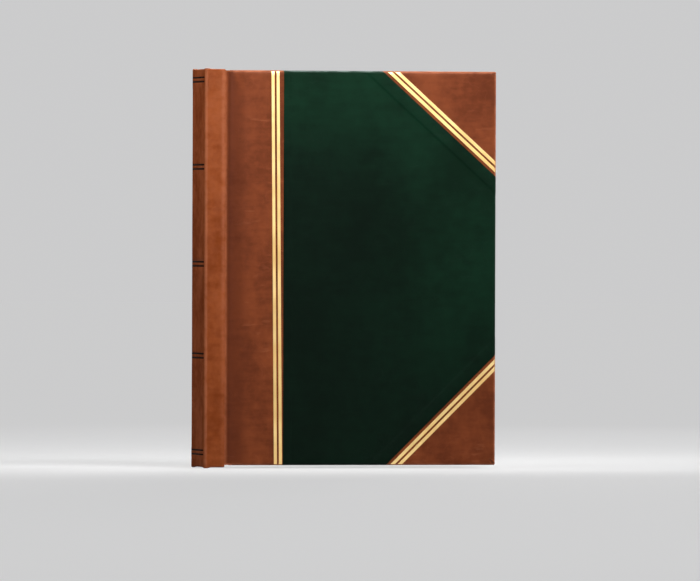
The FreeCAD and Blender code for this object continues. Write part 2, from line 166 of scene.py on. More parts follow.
@dataclass(frozen=True)
class Mottle:
    """A soft uneven pattern.

    Attributes:
        scale: Spots in a metre, or a multiple of a unit that is given when it is drawn.
        detail: Finer layers of spots.
        rough: How strong the finer layers are.
        stretch: Scale of the coordinates along X, Y and Z.
        turn: Angle about Y, in radians, that slants the pattern.
    """

    scale: float
    detail: float = 3.0
    rough: float = 0.5
    stretch: Triple = (1.0, 1.0, 1.0)
    turn: float = 0.0


class Graph:
    """A builder for the nodes of one material or node group."""

    def __init__(self, tree: bpy.types.NodeTree) -> None:
        """Start with no nodes in the tree."""
        self.tree = tree
        tree.nodes.clear()

    def feed(self, socket: Socket, value: Feed) -> None:
        """Give an input its value.

        Args:
            socket: The input.
            value: Another node's output to link it to, or a plain value.
        """
        if isinstance(value, Socket):
            self.tree.links.new(value, socket)
        else:
            socket.default_value = value

    def fill(self, node: bpy.types.Node, inputs: dict[str, Feed]) -> bpy.types.Node:
        """Feed several inputs of a node.

        Args:
            node: The node.
            inputs: Values by the inputs' names, with _ for each space in a name.

        Returns:
            The node.
        """
        for name, value in inputs.items():
            self.feed(node.inputs[name.replace("_", " ")], value)
        return node

    def add(self, kind: str, **inputs: Feed) -> bpy.types.Node:
        """Add a node of some kind and feed its inputs."""
        return self.fill(self.tree.nodes.new(kind), inputs)

    def group(self, effect: "Effect", **inputs: Feed) -> bpy.types.Node:
        """Place the node group of a shared effect.

        Args:
            effect: The effect.
            **inputs: Values for the group's inputs.

        Returns:
            The group's node.
        """
        node = self.tree.nodes.new("ShaderNodeGroup")
        node.node_tree = effect.tree()
        return self.fill(node, inputs)

    def make_sockets(
        self, inputs: Sequence[str], outputs: Sequence[str]
    ) -> tuple[bpy.types.NodeOutputs, bpy.types.NodeInputs]:
        """Give a node group its number sockets.

        Args:
            inputs: Names of its inputs.
            outputs: Names of its outputs.

        Returns:
            What the group is given, and what it has to make.
        """
        for in_out, names in (("INPUT", inputs), ("OUTPUT", outputs)):
            for name in names:
                self.tree.interface.new_socket(name, in_out=in_out, socket_type="NodeSocketFloat")
        return self.add("NodeGroupInput").outputs, self.add("NodeGroupOutput").inputs

    def place(self, stretch: Triple = (1.0, 1.0, 1.0), turn: float = 0.0) -> Socket:
        """Read the place on the object.

        Args:
            stretch: Scale of the coordinates along X, Y and Z.
            turn: Angle about Y, in radians.

        Returns:
            The place.
        """
        here = self.add("ShaderNodeTexCoord").outputs["Object"]
        turned = self.add("ShaderNodeMapping", Vector=here, Scale=stretch, Rotation=(0.0, turn, 0.0))
        return turned.outputs["Vector"]

    def cloud(self, mottle: Mottle, unit: Optional[Socket] = None) -> Socket:
        """Draw an uneven pattern.

        Args:
            mottle: The pattern.
            unit: What its scale is a multiple of, if it isn't in spots in a metre.

        Returns:
            A value from 0 to 1.
        """
        spots = self.add(
            "ShaderNodeTexNoise",
            Vector=self.place(mottle.stretch, mottle.turn),
            Scale=mottle.scale if unit is None else self.times(unit, mottle.scale),
            Detail=mottle.detail,
            Roughness=mottle.rough,
        )
        return spots.outputs["Fac"]

    def work(self, operation: str, first: Feed, second: Feed = 0.0) -> Socket:
        """Do a sum.

        Args:
            operation: The math node's operation.
            first: Its first value.
            second: Its second value, if it takes one.

        Returns:
            The result.
        """
        node = self.tree.nodes.new("ShaderNodeMath")
        node.operation = operation
        self.feed(node.inputs[0], first)
        self.feed(node.inputs[1], second)
        return node.outputs[0]

    def times(self, first: Feed, second: Feed) -> Socket:
        """Multiply two values."""
        return self.work("MULTIPLY", first, second)

    def total(self, *parts: tuple[Socket, float]) -> Socket:
        """Add up values, each times its weight.

        Args:
            *parts: Pairs of a value and its weight.

        Returns:
            The sum.
        """
        weighed = [self.times(value, weight) for value, weight in parts]
        result = weighed[0]
        for part in weighed[1:]:
            result = self.work("ADD", result, part)
        return result

    def off_middle(self, value: Socket) -> Socket:
        """Return how far a value lies from a half, either way."""
        return self.work("ABSOLUTE", self.work("SUBTRACT", value, 0.5))

    def remap(self, value: Socket, start: Pair, end: Pair = (0.0, 1.0)) -> Socket:
        """Ease one range of values on to another.

        Args:
            value: The value to ease.
            start: The range that it comes from.
            end: The range that it goes to.

        Returns:
            The eased value.
        """
        node = self.add("ShaderNodeMapRange", Value=value)
        node.interpolation_type = "SMOOTHSTEP"
        for index, part in enumerate((*start, *end), start=1):
            self.feed(node.inputs[index], part)
        return node.outputs[0]

    def span(self, mask: Socket, end: Pair) -> Socket:
        """Ease a mask of 0 to 1 on to another range."""
        return self.remap(mask, (0.0, 1.0), end)

    def mix(self, share: Socket, first: Feed, second: Feed) -> Socket:
        """Mix two colours.

        Args:
            share: How much of the second colour there is.
            first: A colour.
            second: The other colour.

        Returns:
            The mixed colour.
        """
        node = self.tree.nodes.new("ShaderNodeMix")
        node.data_type = "RGBA"
        values = {"Factor_Float": share, "A_Color": rgba(first), "B_Color": rgba(second)}
        for socket in node.inputs:
            if socket.identifier in values:
                self.feed(socket, values[socket.identifier])
        return next(socket for socket in node.outputs if socket.identifier == "Result_Color")

    def bump(self, height: Socket, strength: float, distance: float) -> Socket:
        """Turn a height into a surface normal."""
        made = self.add("ShaderNodeBump", Strength=strength, Distance=distance, Height=height)
        return made.outputs["Normal"]

    def surface(self, **inputs: Feed) -> None:
        """Add the Principled shader, with some inputs, and the material's output."""
        shader = self.add("ShaderNodeBsdfPrincipled", **inputs)
        self.add("ShaderNodeOutputMaterial", Surface=shader.outputs["BSDF"])


# Effects that several finishes share


@dataclass(frozen=True)
class HideGrain:
    """Pores, soft wrinkles, creases, clouding and faint scuffs of a hide.

    Heights and shares are weights in a sum. An edge is the range in which a mask rises.
    """

    pore_spread: float = 0.9
    pore_edge: Pair = (0.0, 0.55)
    pore_height: float = 0.45
    fine: Mottle = Mottle(0.33, 4.0, 0.6)
    fine_height: float = 0.5
    pull: Mottle = Mottle(210.0, stretch=(1.0, 1.0, 0.3))
    pull_height: float = 0.55
    crease: Mottle = Mottle(95.0, 2.0, 0.45)
    crease_edge: Pair = (0.0, 0.028)
    crease_height: float = 0.5
    crease_patch: Mottle = Mottle(33.0, 1.0)
    crease_patch_edge: Pair = (0.44, 0.62)
    broad: Mottle = Mottle(1.0, 4.0, 0.55, (1.0, 1.0, 0.62), 0.5)
    broad_share: float = 0.72
    small: Mottle = Mottle(5.5, 3.0, 0.6)
    small_share: float = 0.28
    brush: Mottle = Mottle(240.0, 3.0, 0.55, (0.2, 1.0, 1.0), 0.22)
    brush_share: float = 0.22
    cloud_edge: Pair = (0.34, 0.66)
    scuff: Mottle = Mottle(330.0, 2.0, 0.4, (0.22, 0.22, 1.0), 0.55)
    scuff_edge: Pair = (0.6, 0.74)
    scuff_patch: Mottle = Mottle(26.0, 1.0)
    scuff_patch_edge: Pair = (0.5, 0.68)

    def draw(self, graph: Graph) -> None:
        """Draw the height of the grain, and masks of its clouds, scuffs and creases.

        Args:
            graph: Builder of the group's nodes.
        """
        given, made = graph.make_sockets(("Pores", "Clouding"), ("Height", "Clouds", "Scuffs", "Creases"))
        cells = graph.add(
            "ShaderNodeTexVoronoi", Vector=graph.place(), Scale=given["Pores"], Randomness=self.pore_spread
        )
        fold = graph.remap(graph.off_middle(graph.cloud(self.crease)), self.crease_edge, (1.0, 0.0))
        crease = graph.times(fold, graph.remap(graph.cloud(self.crease_patch), self.crease_patch_edge))
        height = graph.total(
            (graph.remap(cells.outputs["Distance"], self.pore_edge), self.pore_height),
            (graph.cloud(self.fine, given["Pores"]), self.fine_height),
            (crease, self.crease_height),
            (graph.cloud(self.pull), self.pull_height),
        )
        clouds = graph.total(
            (graph.cloud(self.broad, given["Clouding"]), self.broad_share),
            (graph.cloud(self.small, given["Clouding"]), self.small_share),
            (graph.work("SUBTRACT", graph.cloud(self.brush), 0.5), self.brush_share),
        )
        streak = graph.remap(graph.cloud(self.scuff), self.scuff_edge)
        patch = graph.remap(graph.cloud(self.scuff_patch), self.scuff_patch_edge)
        graph.feed(made["Height"], height)
        graph.feed(made["Clouds"], graph.remap(clouds, self.cloud_edge))
        graph.feed(made["Scuffs"], graph.times(streak, patch))
        graph.feed(made["Creases"], crease)


@dataclass(frozen=True)
class Handling:
    """Rubbed edges with painted highlights, and painted shade, from a piece's rub and deep attributes."""

    uneven: Mottle = Mottle(1.0)
    uneven_edge: Pair = (0.25, 0.7)
    least_wear_and_highlight: float = 0.45
    least_painted_shade: float = 0.86

    def draw(self, graph: Graph) -> None:
        """Draw the mask of rubbed edges with painted highlights and the mask of painted shade, broken up
        unevenly.

        Args:
            graph: Builder of the group's nodes.
        """
        given, made = graph.make_sockets(("Breakup",), ("Rub", "Deep"))
        uneven = graph.cloud(self.uneven, given["Breakup"])
        # Rub carries worn edges with painted highlights; Deep carries painted shade, which on the siding
        # leaves painted light where it is low.
        for name, least in (("Rub", self.least_wear_and_highlight), ("Deep", self.least_painted_shade)):
            marked = graph.add("ShaderNodeAttribute")
            marked.attribute_name = name.lower()
            broken = graph.remap(uneven, self.uneven_edge, (least, 1.0))
            graph.feed(made[name], graph.times(marked.outputs["Fac"], broken))


@dataclass(frozen=True)
class Fibre:
    """The felted fibres and flecks of paper and board."""

    long_way: Mottle = Mottle(1.0, 3.0, 0.6, (1.0, 1.0, 0.16))
    cross_way: Mottle = Mottle(1.0, 3.0, 0.6, (0.18, 1.0, 1.0))
    fleck: Mottle = Mottle(0.45, 2.0)
    fleck_edge: Pair = (0.46, 0.72)

    def draw(self, graph: Graph) -> None:
        """Draw the height of the fibres, and a mask of flecks.

        Args:
            graph: Builder of the group's nodes.
        """
        given, made = graph.make_sockets(("Fineness",), ("Height", "Flecks"))
        ways = [graph.cloud(way, given["Fineness"]) for way in (self.long_way, self.cross_way)]
        flecks = graph.cloud(self.fleck, given["Fineness"])
        graph.feed(made["Height"], graph.work("ADD", *ways))
        graph.feed(made["Flecks"], graph.remap(flecks, self.fleck_edge))


@dataclass(frozen=True)
class Weave:
    """A plain weave with threads along X and Z, which wander a little."""

    wobble: Mottle = Mottle(260.0, 2.0)
    wander: float = 1.6

    def draw(self, graph: Graph) -> None:
        """Draw the height of the threads.

        Args:
            graph: Builder of the group's nodes.
        """
        given, made = graph.make_sockets(("Threads",), ("Height",))
        wobble = graph.times(graph.cloud(self.wobble), self.wander)
        apart = graph.add("ShaderNodeSeparateXYZ", Vector=graph.place())
        rate = graph.times(given["Threads"], math.pi)
        waves = []
        for axis in ("X", "Z"):
            turns = graph.work("ADD", graph.times(apart.outputs[axis], rate), wobble)
            waves.append(graph.work("ABSOLUTE", graph.work("SINE", turns)))
        graph.feed(made["Height"], graph.times(*waves))


class Effect(Enum):
    """The shared effects, each kept as one node group."""

    HIDE_GRAIN = HideGrain()
    HANDLING = Handling()
    FIBRE = Fibre()
    WEAVE = Weave()

    def tree(self) -> bpy.types.NodeTree:
        """Find this effect's node group, or build it the first time.

        Returns:
            The node group.
        """
        name = self.name.lower()
        made = bpy.data.node_groups.get(name)
        if made is None:
            made = bpy.data.node_groups.new(name, "ShaderNodeTree")
            self.value.draw(Graph(made))
        return made


# Finishes


@dataclass(frozen=True)
class Finish:
    """A surface of the album, drawn by nodes.

    Attributes:
        name: Name of its material.
        slot: The material slot that it belongs to. It is not used.
    """

    name: str
    slot: str

    def material(self) -> bpy.types.Material:
        """Find this finish's material, or build it the first time.

        Returns:
            The material.
        """
        made = bpy.data.materials.get(self.name)
        if made is None:
            made = bpy.data.materials.new(self.name)
            made.use_nodes = True
            self.draw(Graph(made.node_tree))
        return made

    def draw(self, graph: Graph) -> None:
        """Draw the surface with shader nodes."""
        raise NotImplementedError


@dataclass(frozen=True)
class Leather(Finish):
    """Smooth dyed leather or leatherette, clouded, with rubbed edges, painted highlights and painted shade.

    Attributes:
        tint: The lighter dye of the clouds.
        shade: The darker dye of the clouds.
        wear_and_highlight: Colour of scuffs and creases, and of rubbed edges, where it is partly wear and
            partly a painted highlight.
        pooled: Colour of painted shade, where the deep attribute is set.
        painted_shade_share, rub, scuff, crease: The most that each of those covers.
        pores, clouding, breakup: Scales of the grain, of the clouds and of the uneven wear and painted
            light.
        relief, grain_depth: Strength and depth of the grain.
        gloss: Roughness of the lighter and of the darker clouds.
        specular: Level of the shine.
    """

    tint: Colour
    shade: Colour
    wear_and_highlight: Colour
    pooled: Colour = (0.08, 0.014, 0.003)
    painted_shade_share: float = 0.62
    rub: float = 0.6
    scuff: float = 0.16
    crease: float = 0.05
    pores: float = 1500.0
    clouding: float = 26.0
    breakup: float = 140.0
    relief: float = 0.25
    grain_depth: float = 0.2 * MM
    gloss: Pair = (0.4, 0.55)
    specular: float = 0.14

    def draw(self, graph: Graph) -> None:
        """Draw clouded dye, grain, scuffs, rubbed edges with painted highlights, and painted shade.

        Args:
            graph: Builder of the material's nodes.
        """
        grain = graph.group(Effect.HIDE_GRAIN, Pores=self.pores, Clouding=self.clouding).outputs
        handled = graph.group(Effect.HANDLING, Breakup=self.breakup).outputs
        dye = graph.mix(grain["Clouds"], self.shade, self.tint)
        # Scuffs and creases are wear; the rub layer is wear with a painted highlight, and the deep layer is
        # painted shade.
        layers = (
            (grain["Scuffs"], self.scuff, self.wear_and_highlight),
            (grain["Creases"], self.crease, self.wear_and_highlight),
            (handled["Deep"], self.painted_shade_share, self.pooled),
            (handled["Rub"], self.rub, self.wear_and_highlight),
        )
        for mask, most, colour in layers:
            dye = graph.mix(graph.span(mask, (0.0, most)), dye, colour)
        graph.surface(
            Base_Color=dye,
            Roughness=graph.span(grain["Clouds"], self.gloss[::-1]),
            Normal=graph.bump(grain["Height"], self.relief, self.grain_depth),
            Specular_IOR_Level=self.specular,
        )


@dataclass(frozen=True)
class Foil(Finish):
    """Gilt foil, pressed and lightly brushed by handling."""

    bright: Colour = (0.97, 0.7, 0.3)
    deep: Colour = (0.86, 0.56, 0.21)
    uneven: Mottle = Mottle(45.0)
    uneven_edge: Pair = (0.3, 0.7)
    dull: Mottle = Mottle(170.0, 2.0)
    dull_edge: Pair = (0.35, 0.7)
    gloss: Pair = (0.3, 0.38)
    metallic: float = 1.0
    specular: float = 0.5

    def draw(self, graph: Graph) -> None:
        """Draw uneven foil with fine brushing.

        Args:
            graph: Builder of the material's nodes.
        """
        uneven = graph.remap(graph.cloud(self.uneven), self.uneven_edge)
        dull = graph.remap(graph.cloud(self.dull), self.dull_edge)
        graph.surface(
            Base_Color=graph.mix(uneven, self.deep, self.bright),
            Roughness=graph.span(dull, self.gloss),
            Metallic=self.metallic,
            Specular_IOR_Level=self.specular,
        )


@dataclass(frozen=True)
class Paper(Finish):
    """Paper, card or pressed board with felted fibres and flecks."""

    tint: Colour
    fleck: Colour
    fineness: float = 900.0
    relief: float = 0.2
    fibre_depth: float = 0.08 * MM
    gloss: Pair = (0.7, 0.85)
    specular: float = 0.25
    alpha: float = 1.0

    def draw(self, graph: Graph) -> None:
        """Draw fibres and flecks.

        Args:
            graph: Builder of the material's nodes.
        """
        fibre = graph.group(Effect.FIBRE, Fineness=self.fineness).outputs
        graph.surface(
            Base_Color=graph.mix(fibre["Flecks"], self.tint, self.fleck),
            Roughness=graph.span(fibre["Flecks"], self.gloss),
            Normal=graph.bump(fibre["Height"], self.relief, self.fibre_depth),
            Specular_IOR_Level=self.specular,
            Alpha=self.alpha,
        )


@dataclass(frozen=True)
class LayeredCard(Paper):
    """Card in a pressed stack, with a dark line where one layer meets the next.

    Attributes:
        layer: Thickness of a layer.
        start: Where the lowest layer starts along Y.
        line: Colour of the lines.
        line_edge: How far off a layer's middle its line starts, as shares of the layer.
        line_relief, line_depth: Strength and depth of the lines.
        fibre_share: Height of the fibres, beside the lines.
    """

    layer: float = 2.5 * MM
    start: float = 0.0
    line: Colour = (0.003, 0.003, 0.003)
    line_edge: Pair = (0.43, 0.49)
    line_relief: float = 0.4
    line_depth: float = 0.2 * MM
    fibre_share: float = 0.2

    def draw(self, graph: Graph) -> None:
        """Draw fibres and the lines between layers.

        Args:
            graph: Builder of the material's nodes.
        """
        fibre = graph.group(Effect.FIBRE, Fineness=self.fineness).outputs
        across = graph.add("ShaderNodeSeparateXYZ", Vector=graph.place()).outputs["Y"]
        layers = graph.work("DIVIDE", graph.work("SUBTRACT", across, self.start), self.layer)
        line = graph.remap(graph.off_middle(graph.work("FRACT", layers)), self.line_edge)
        card = graph.mix(fibre["Flecks"], self.tint, self.fleck)
        height = graph.work("SUBTRACT", graph.times(fibre["Height"], self.fibre_share), line)
        graph.surface(
            Base_Color=graph.mix(line, card, self.line),
            Roughness=graph.span(fibre["Flecks"], self.gloss),
            Normal=graph.bump(height, self.line_relief, self.line_depth),
            Specular_IOR_Level=self.specular,
        )


@dataclass(frozen=True)
class Linen(Finish):
    """Plain-woven hinge cloth, with fibres on its threads."""

    thread: Colour = (0.03, 0.03, 0.032)
    hollow: Colour = (0.008, 0.008, 0.009)
    threads: float = 1800.0
    fineness: float = 2600.0
    fibre_share: float = 0.2
    relief: float = 0.5
    thread_depth: float = 0.15 * MM
    roughness: float = 0.85
    sheen: float = 0.2

    def draw(self, graph: Graph) -> None:
        """Draw a weave with fibres on its threads.

        Args:
            graph: Builder of the material's nodes.
        """
        weave = graph.group(Effect.WEAVE, Threads=self.threads).outputs["Height"]
        fibre = graph.group(Effect.FIBRE, Fineness=self.fineness).outputs["Height"]
        height = graph.work("ADD", weave, graph.times(fibre, self.fibre_share))
        graph.surface(
            Base_Color=graph.mix(weave, self.hollow, self.thread),
            Roughness=self.roughness,
            Normal=graph.bump(height, self.relief, self.thread_depth),
            Sheen_Weight=self.sheen,
        )


@dataclass(frozen=True)
class Film(Finish):
    """Clear film, a little wavy, with fine scratches."""

    tint: Colour = (0.9, 0.94, 0.95)
    index: float = 1.4
    scratch: Mottle = Mottle(700.0, 2.0, stretch=(0.1, 1.0, 1.0))
    scratch_edge: Pair = (0.58, 0.75)
    gloss: Pair = (0.12, 0.22)
    wave: Mottle = Mottle(45.0, 1.0)
    relief: float = 0.05
    wave_depth: float = 0.4 * MM

    def draw(self, graph: Graph) -> None:
        """Draw clear film, a little rougher along fine scratches.

        Args:
            graph: Builder of the material's nodes.
        """
        scratch = graph.remap(graph.cloud(self.scratch), self.scratch_edge)
        graph.surface(
            Base_Color=rgba(self.tint),
            Roughness=graph.span(scratch, self.gloss),
            Normal=graph.bump(graph.cloud(self.wave), self.relief, self.wave_depth),
            Transmission_Weight=1.0,
            IOR=self.index,
        )


@dataclass(frozen=True)
class TurnedMetal(Finish):
    """Turned brass with a dull lacquer."""

    bright: Colour = (0.75, 0.55, 0.25)
    dull: Colour = (0.45, 0.3, 0.13)
    patch: Mottle = Mottle(380.0, 4.0, 0.6)
    patch_edge: Pair = (0.35, 0.65)
    gloss: Pair = (0.45, 0.25)

    def draw(self, graph: Graph) -> None:
        """Draw metal that is dull in patches.

        Args:
            graph: Builder of the material's nodes.
        """
        patch = graph.remap(graph.cloud(self.patch), self.patch_edge)
        graph.surface(
            Base_Color=graph.mix(patch, self.dull, self.bright),
            Roughness=graph.span(patch, self.gloss),
            Metallic=1.0,
        )


LEAF_NUMBERS = [f"{number:02d}" for number in range(1, 100) if f"leaf_{number:02d}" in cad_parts]
STUBS_LOW, STUBS_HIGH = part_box("leaf_stubs")

# Lighter than the cover leather: partly worn, lighter leather, partly painted light where the strips face
# the light.
SPINE_LEATHER = Leather(
    "spine_leather_finish",
    "brown_leather",
    tint=(0.3, 0.072, 0.0195),
    shade=(0.188, 0.0365, 0.0068),
    wear_and_highlight=(0.43, 0.145, 0.07),
    rub=0.64,
    clouding=34.0,
    gloss=(0.68, 0.78),
    specular=0.02,
)
COVER_LEATHER = Leather(
    "cover_leather_finish",
    "brown_leather",
    tint=(0.225, 0.05, 0.0125),
    shade=(0.118, 0.022, 0.0036),
    wear_and_highlight=(0.44, 0.14, 0.06),
    rub=0.75,
)
# The pale grey colour of rubbed edges is mostly a painted highlight on the head edge. The tint is lighter
# than the siding's own colour and shows as painted light towards the head and fore-edge; the dark colour of
# painted shade covers it towards the tail beside the band.
SIDING = Leather(
    "green_leatherette_finish",
    "green_siding",
    tint=(0.0036, 0.027, 0.0122),
    shade=(0.0018, 0.0138, 0.006),
    wear_and_highlight=(0.27, 0.33, 0.31),
    pooled=(0.0002, 0.0026, 0.0012),
    painted_shade_share=0.75,
    scuff=0.009,
    crease=0.005,
    pores=1900.0,
    clouding=17.0,
    relief=0.4,
    gloss=(0.48, 0.6),
    specular=0.055,
)
GILT = Foil("gilt_finish", "gilt")
DARK_FOIL = Foil(
    "dark_foil_finish",
    "dark_foil",
    bright=srgb(30, 18, 11),
    deep=srgb(18, 10, 6),
    gloss=(0.7, 0.8),
    metallic=0.0,
    specular=0.02,
)
GREYBOARD = Paper(
    "greyboard_finish",
    "greyboard",
    tint=srgb(140, 133, 122),
    fleck=srgb(104, 97, 88),
    fineness=420.0,
)
ENDPAPER = Paper(
    "endpaper_finish",
    "endpaper",
    tint=srgb(212, 200, 174),
    fleck=srgb(205, 192, 164),
    relief=0.12,
)
BLACK_CARD = Paper(
    "black_card_finish",
    "black_card",
    tint=srgb(27, 27, 29),
    fleck=srgb(20, 20, 22),
    gloss=(0.55, 0.7),
)
STUB_CARD = LayeredCard(
    "stub_card_finish",
    "stub_card",
    tint=srgb(36, 36, 38),
    fleck=srgb(29, 29, 31),
    fineness=1600.0,
    layer=(STUBS_HIGH.y - STUBS_LOW.y) / len(LEAF_NUMBERS),
    start=STUBS_LOW.y,
)
GLASSINE = Paper(
    "glassine_finish",
    "glassine",
    tint=srgb(232, 229, 216),
    fleck=srgb(218, 214, 198),
    fineness=500.0,
    relief=0.1,
    gloss=(0.35, 0.5),
    alpha=0.62,
)
HINGE_LINEN = Linen("hinge_linen_finish", "black_card")
CLEAR_FILM = Film("clear_film_finish", "clear_film")
BRASS = TurnedMetal("post_brass_finish", "post_metal")


# Mesh forms


class Edges:
    """A choice of a form's edges. Choices are joined with &, | and ~."""

    def __init__(self, test: Callable[[BMEdge], bool]) -> None:
        """Keep the test that says whether an edge is chosen."""
        self.test = test

    def __and__(self, other: "Edges") -> "Edges":
        """Choose the edges that are in both choices."""
        return Edges(lambda edge: self.test(edge) and other.test(edge))

    def __or__(self, other: "Edges") -> "Edges":
        """Choose the edges that are in either choice."""
        return Edges(lambda edge: self.test(edge) or other.test(edge))

    def __invert__(self) -> "Edges":
        """Choose the edges that aren't in this choice."""
        return Edges(lambda edge: not self.test(edge))

    @classmethod
    def on(cls, axis: int, place: float) -> "Edges":
        """Choose the edges that lie on a plane square to an axis."""
        return cls(lambda edge: all(abs(vertex.co[axis] - place) < TOUCH for vertex in edge.verts))


class Form:
    """A mesh in the making, shaped with bmesh operators."""

    def __init__(self) -> None:
        """Start with an empty mesh."""
        self.bm = bmesh.new()
        self.sharp = SHARP_ANGLE

    def add_block(self, low: Vector, high: Vector) -> "Form":
        """Add a block.

        Args:
            low: Its lowest corner.
            high: Its highest corner.

        Returns:
            The form.
        """
        matrix = Matrix.Translation((low + high) / 2) @ Matrix.Diagonal((*(high - low), 1.0))
        bmesh.ops.create_cube(self.bm, size=1.0, matrix=matrix)
        return self

    def add_prism(self, outline: Sequence[Pair], low: float, high: float) -> "Form":
        """Add an upright prism.

        Args:
            outline: Corners of its section as X and Y.
            low: Height of its lower end.
            high: Height of its upper end.

        Returns:
            The form.
        """
        ring = [self.bm.verts.new((x, y, low)) for x, y in outline]
        made = bmesh.ops.extrude_face_region(self.bm, geom=[self.bm.faces.new(ring)], use_keep_orig=True)
        self.drag(made, (0.0, 0.0, high - low))
        bmesh.ops.recalc_face_normals(self.bm, faces=self.bm.faces)
        return self

    def add_ribbon(self, path: Sequence[Pair], low: float, high: float, thick: float) -> "Form":
        """Add an upright sheet with thickness.

        Args:
            path: Points of its outer face as X and Y.
            low: Height of its lower end.
            high: Height of its upper end.
            thick: Thickness, away from the front.

        Returns:
            The form.
        """
        points = [self.bm.verts.new((x, y, low)) for x, y in path]
        lines = [self.bm.edges.new(pair) for pair in zip(points, points[1:])]
        self.drag(bmesh.ops.extrude_edge_only(self.bm, edges=lines), (0.0, 0.0, high - low))
        made = bmesh.ops.extrude_face_region(self.bm, geom=list(self.bm.faces), use_keep_orig=True)
        self.drag(made, (0.0, thick, 0.0))
        bmesh.ops.recalc_face_normals(self.bm, faces=self.bm.faces)
        return self

    def drag(self, made: dict[str, list], by: Triple) -> None:
        """Move the points that an extrusion has made."""
        points = [part for part in made["geom"] if isinstance(part, BMVert)]
        bmesh.ops.translate(self.bm, verts=points, vec=by)

    def round_edges(self, chosen: Edges, radius: float, segments: int) -> None:
        """Round the chosen edges.

        Args:
            chosen: Says which edges.
            radius: Radius of the rounding.
            segments: Faces across the rounding.
        """
        bmesh.ops.bevel(
            self.bm,
            geom=[edge for edge in self.bm.edges if chosen.test(edge)],
            offset=radius,
            offset_type="OFFSET",
            segments=segments,
            profile=0.5,
            affect="EDGES",
            material=-1,
        )

    def round_fore_corners(self, low: Vector, high: Vector, radius: float, segments: int) -> None:
        """Round the two corners at the fore-edge of a board or a leaf.

        Args:
            low: Its lowest corner.
            high: Its highest corner.
            radius: Radius of the rounding.
            segments: Faces across the rounding.
        """
        ends = Edges.on(2, low.z) | Edges.on(2, high.z)
        self.round_edges(Edges.on(0, high.x) & ends, radius, segments)

    def cut(self, point: Vector, normal: Vector, keep: Keep = Keep.BOTH, capped: bool = True) -> None:
        """Cut the form with a plane.

        Args:
            point: A point of the plane.
            normal: The plane's normal.
            keep: What stays: both sides, what lies behind the plane or what lies ahead of it.
            capped: Whether the cut is closed with a face.
        """
        made = bmesh.ops.bisect_plane(
            self.bm,
            geom=[*self.bm.verts, *self.bm.edges, *self.bm.faces],
            dist=TOUCH / 10,
            plane_co=point,
            plane_no=normal,
            clear_outer=keep is Keep.BEHIND,
            clear_inner=keep is Keep.AHEAD,
        )
        if capped and keep is not Keep.BOTH:
            rim = [part for part in made["geom_cut"] if isinstance(part, BMEdge)]
            bmesh.ops.holes_fill(self.bm, edges=rim, sides=0)

    def rows(self, axis: int, places: Iterable[float]) -> None:
        """Add rows of edges across the form.

        Args:
            axis: The axis that the rows are square to.
            places: Where they lie along it.
        """
        normal = Vector((0.0, 0.0, 0.0))
        normal[axis] = 1.0
        for place in places:
            self.cut(normal * place, normal)

    def shift(self, move: Callable[[Vector], Vector]) -> None:
        """Move each point by what move says for its place."""
        for vertex in self.bm.verts:
            vertex.co += move(vertex.co.copy())

    def paint(self, name: str, value: Callable[[Vector], float]) -> None:
        """Give each point an attribute that a finish reads.

        Args:
            name: Name of the attribute.
            value: Says what it is at a place.
        """
        layer = self.bm.verts.layers.float.new(name)
        for vertex in self.bm.verts:
            vertex[layer] = value(vertex.co)

    def face(self, side: Side) -> None:
        """Turn a front piece into its mirror image, if it is for the back.

        Args:
            side: The side that it is for.
        """
        if side is Side.BACK:
            bmesh.ops.scale(self.bm, vec=(1.0, -1.0, 1.0), verts=self.bm.verts)
            bmesh.ops.reverse_faces(self.bm, faces=self.bm.faces)

    def piece(self, name: str, finish: Finish, node: str) -> bpy.types.Object:
        """Make the form an object of the album.

        Args:
            name: Name of the piece.
            finish: Its surface.
            node: The CAD node that it replaces.

        Returns:
            The object, which rides on nothing yet.
        """
        for face in self.bm.faces:
            face.smooth = True
        for edge in self.bm.edges:
            edge.smooth = len(edge.link_faces) == 2 and edge.calc_face_angle(0.0) < self.sharp
        mesh = bpy.data.meshes.new(name)
        self.bm.to_mesh(mesh)
        self.bm.free()
        mesh.materials.append(finish.material())
        made = link(name, mesh)
        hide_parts(node)
        LOG.info("%s: %d faces for %s", name, len(mesh.polygons), node)
        return made

    def ride(self, body: str, name: str, finish: Finish, node: str) -> None:
        """Make the form an object of the album that moves with a body."""
        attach(self.piece(name, finish, node), body)


@dataclass(frozen=True)
class Swell:
    """The gentle unevenness of a pasted covering or a thin sheet.

    Attributes:
        size: Distance over which it changes.
        height: Its greatest height.
        seed: Sets one covering apart from another.
    """

    size: float
    height: float
    seed: float

    def at(self, place: Vector) -> float:
        """Return the height at a place, up or down."""
        return self.height * noise.noise(Vector((place.x / self.size, self.seed, place.z / self.size)))


@dataclass(frozen=True)
class FaceLine:
    """A straight line on a cover's face, with a side that counts as ahead of it.

    Attributes:
        point: A point of the line, as X and Z.
        ahead: The direction at right angles to the line, as X and Z.
    """

    point: Pair
    ahead: Pair

    def distance(self, place: Vector) -> float:
        """Return how far ahead of the line a place lies."""
        along_x = (place.x - self.point[0]) * self.ahead[0]
        return along_x + (place.z - self.point[1]) * self.ahead[1]

    def cut(self, form: Form, offset: float, keep: Keep = Keep.BOTH, capped: bool = True) -> None:
        """Cut a form along the line.

        Args:
            form: The form.
            offset: How far ahead of the line the cut lies.
            keep: What stays of the form.
            capped: Whether the cut is closed with a face.
        """
        normal = Vector((self.ahead[0], 0.0, self.ahead[1]))
        point = Vector((self.point[0], 0.0, self.point[1])) + normal * offset
        form.cut(point, normal, keep, capped)


# Sub-assemblies


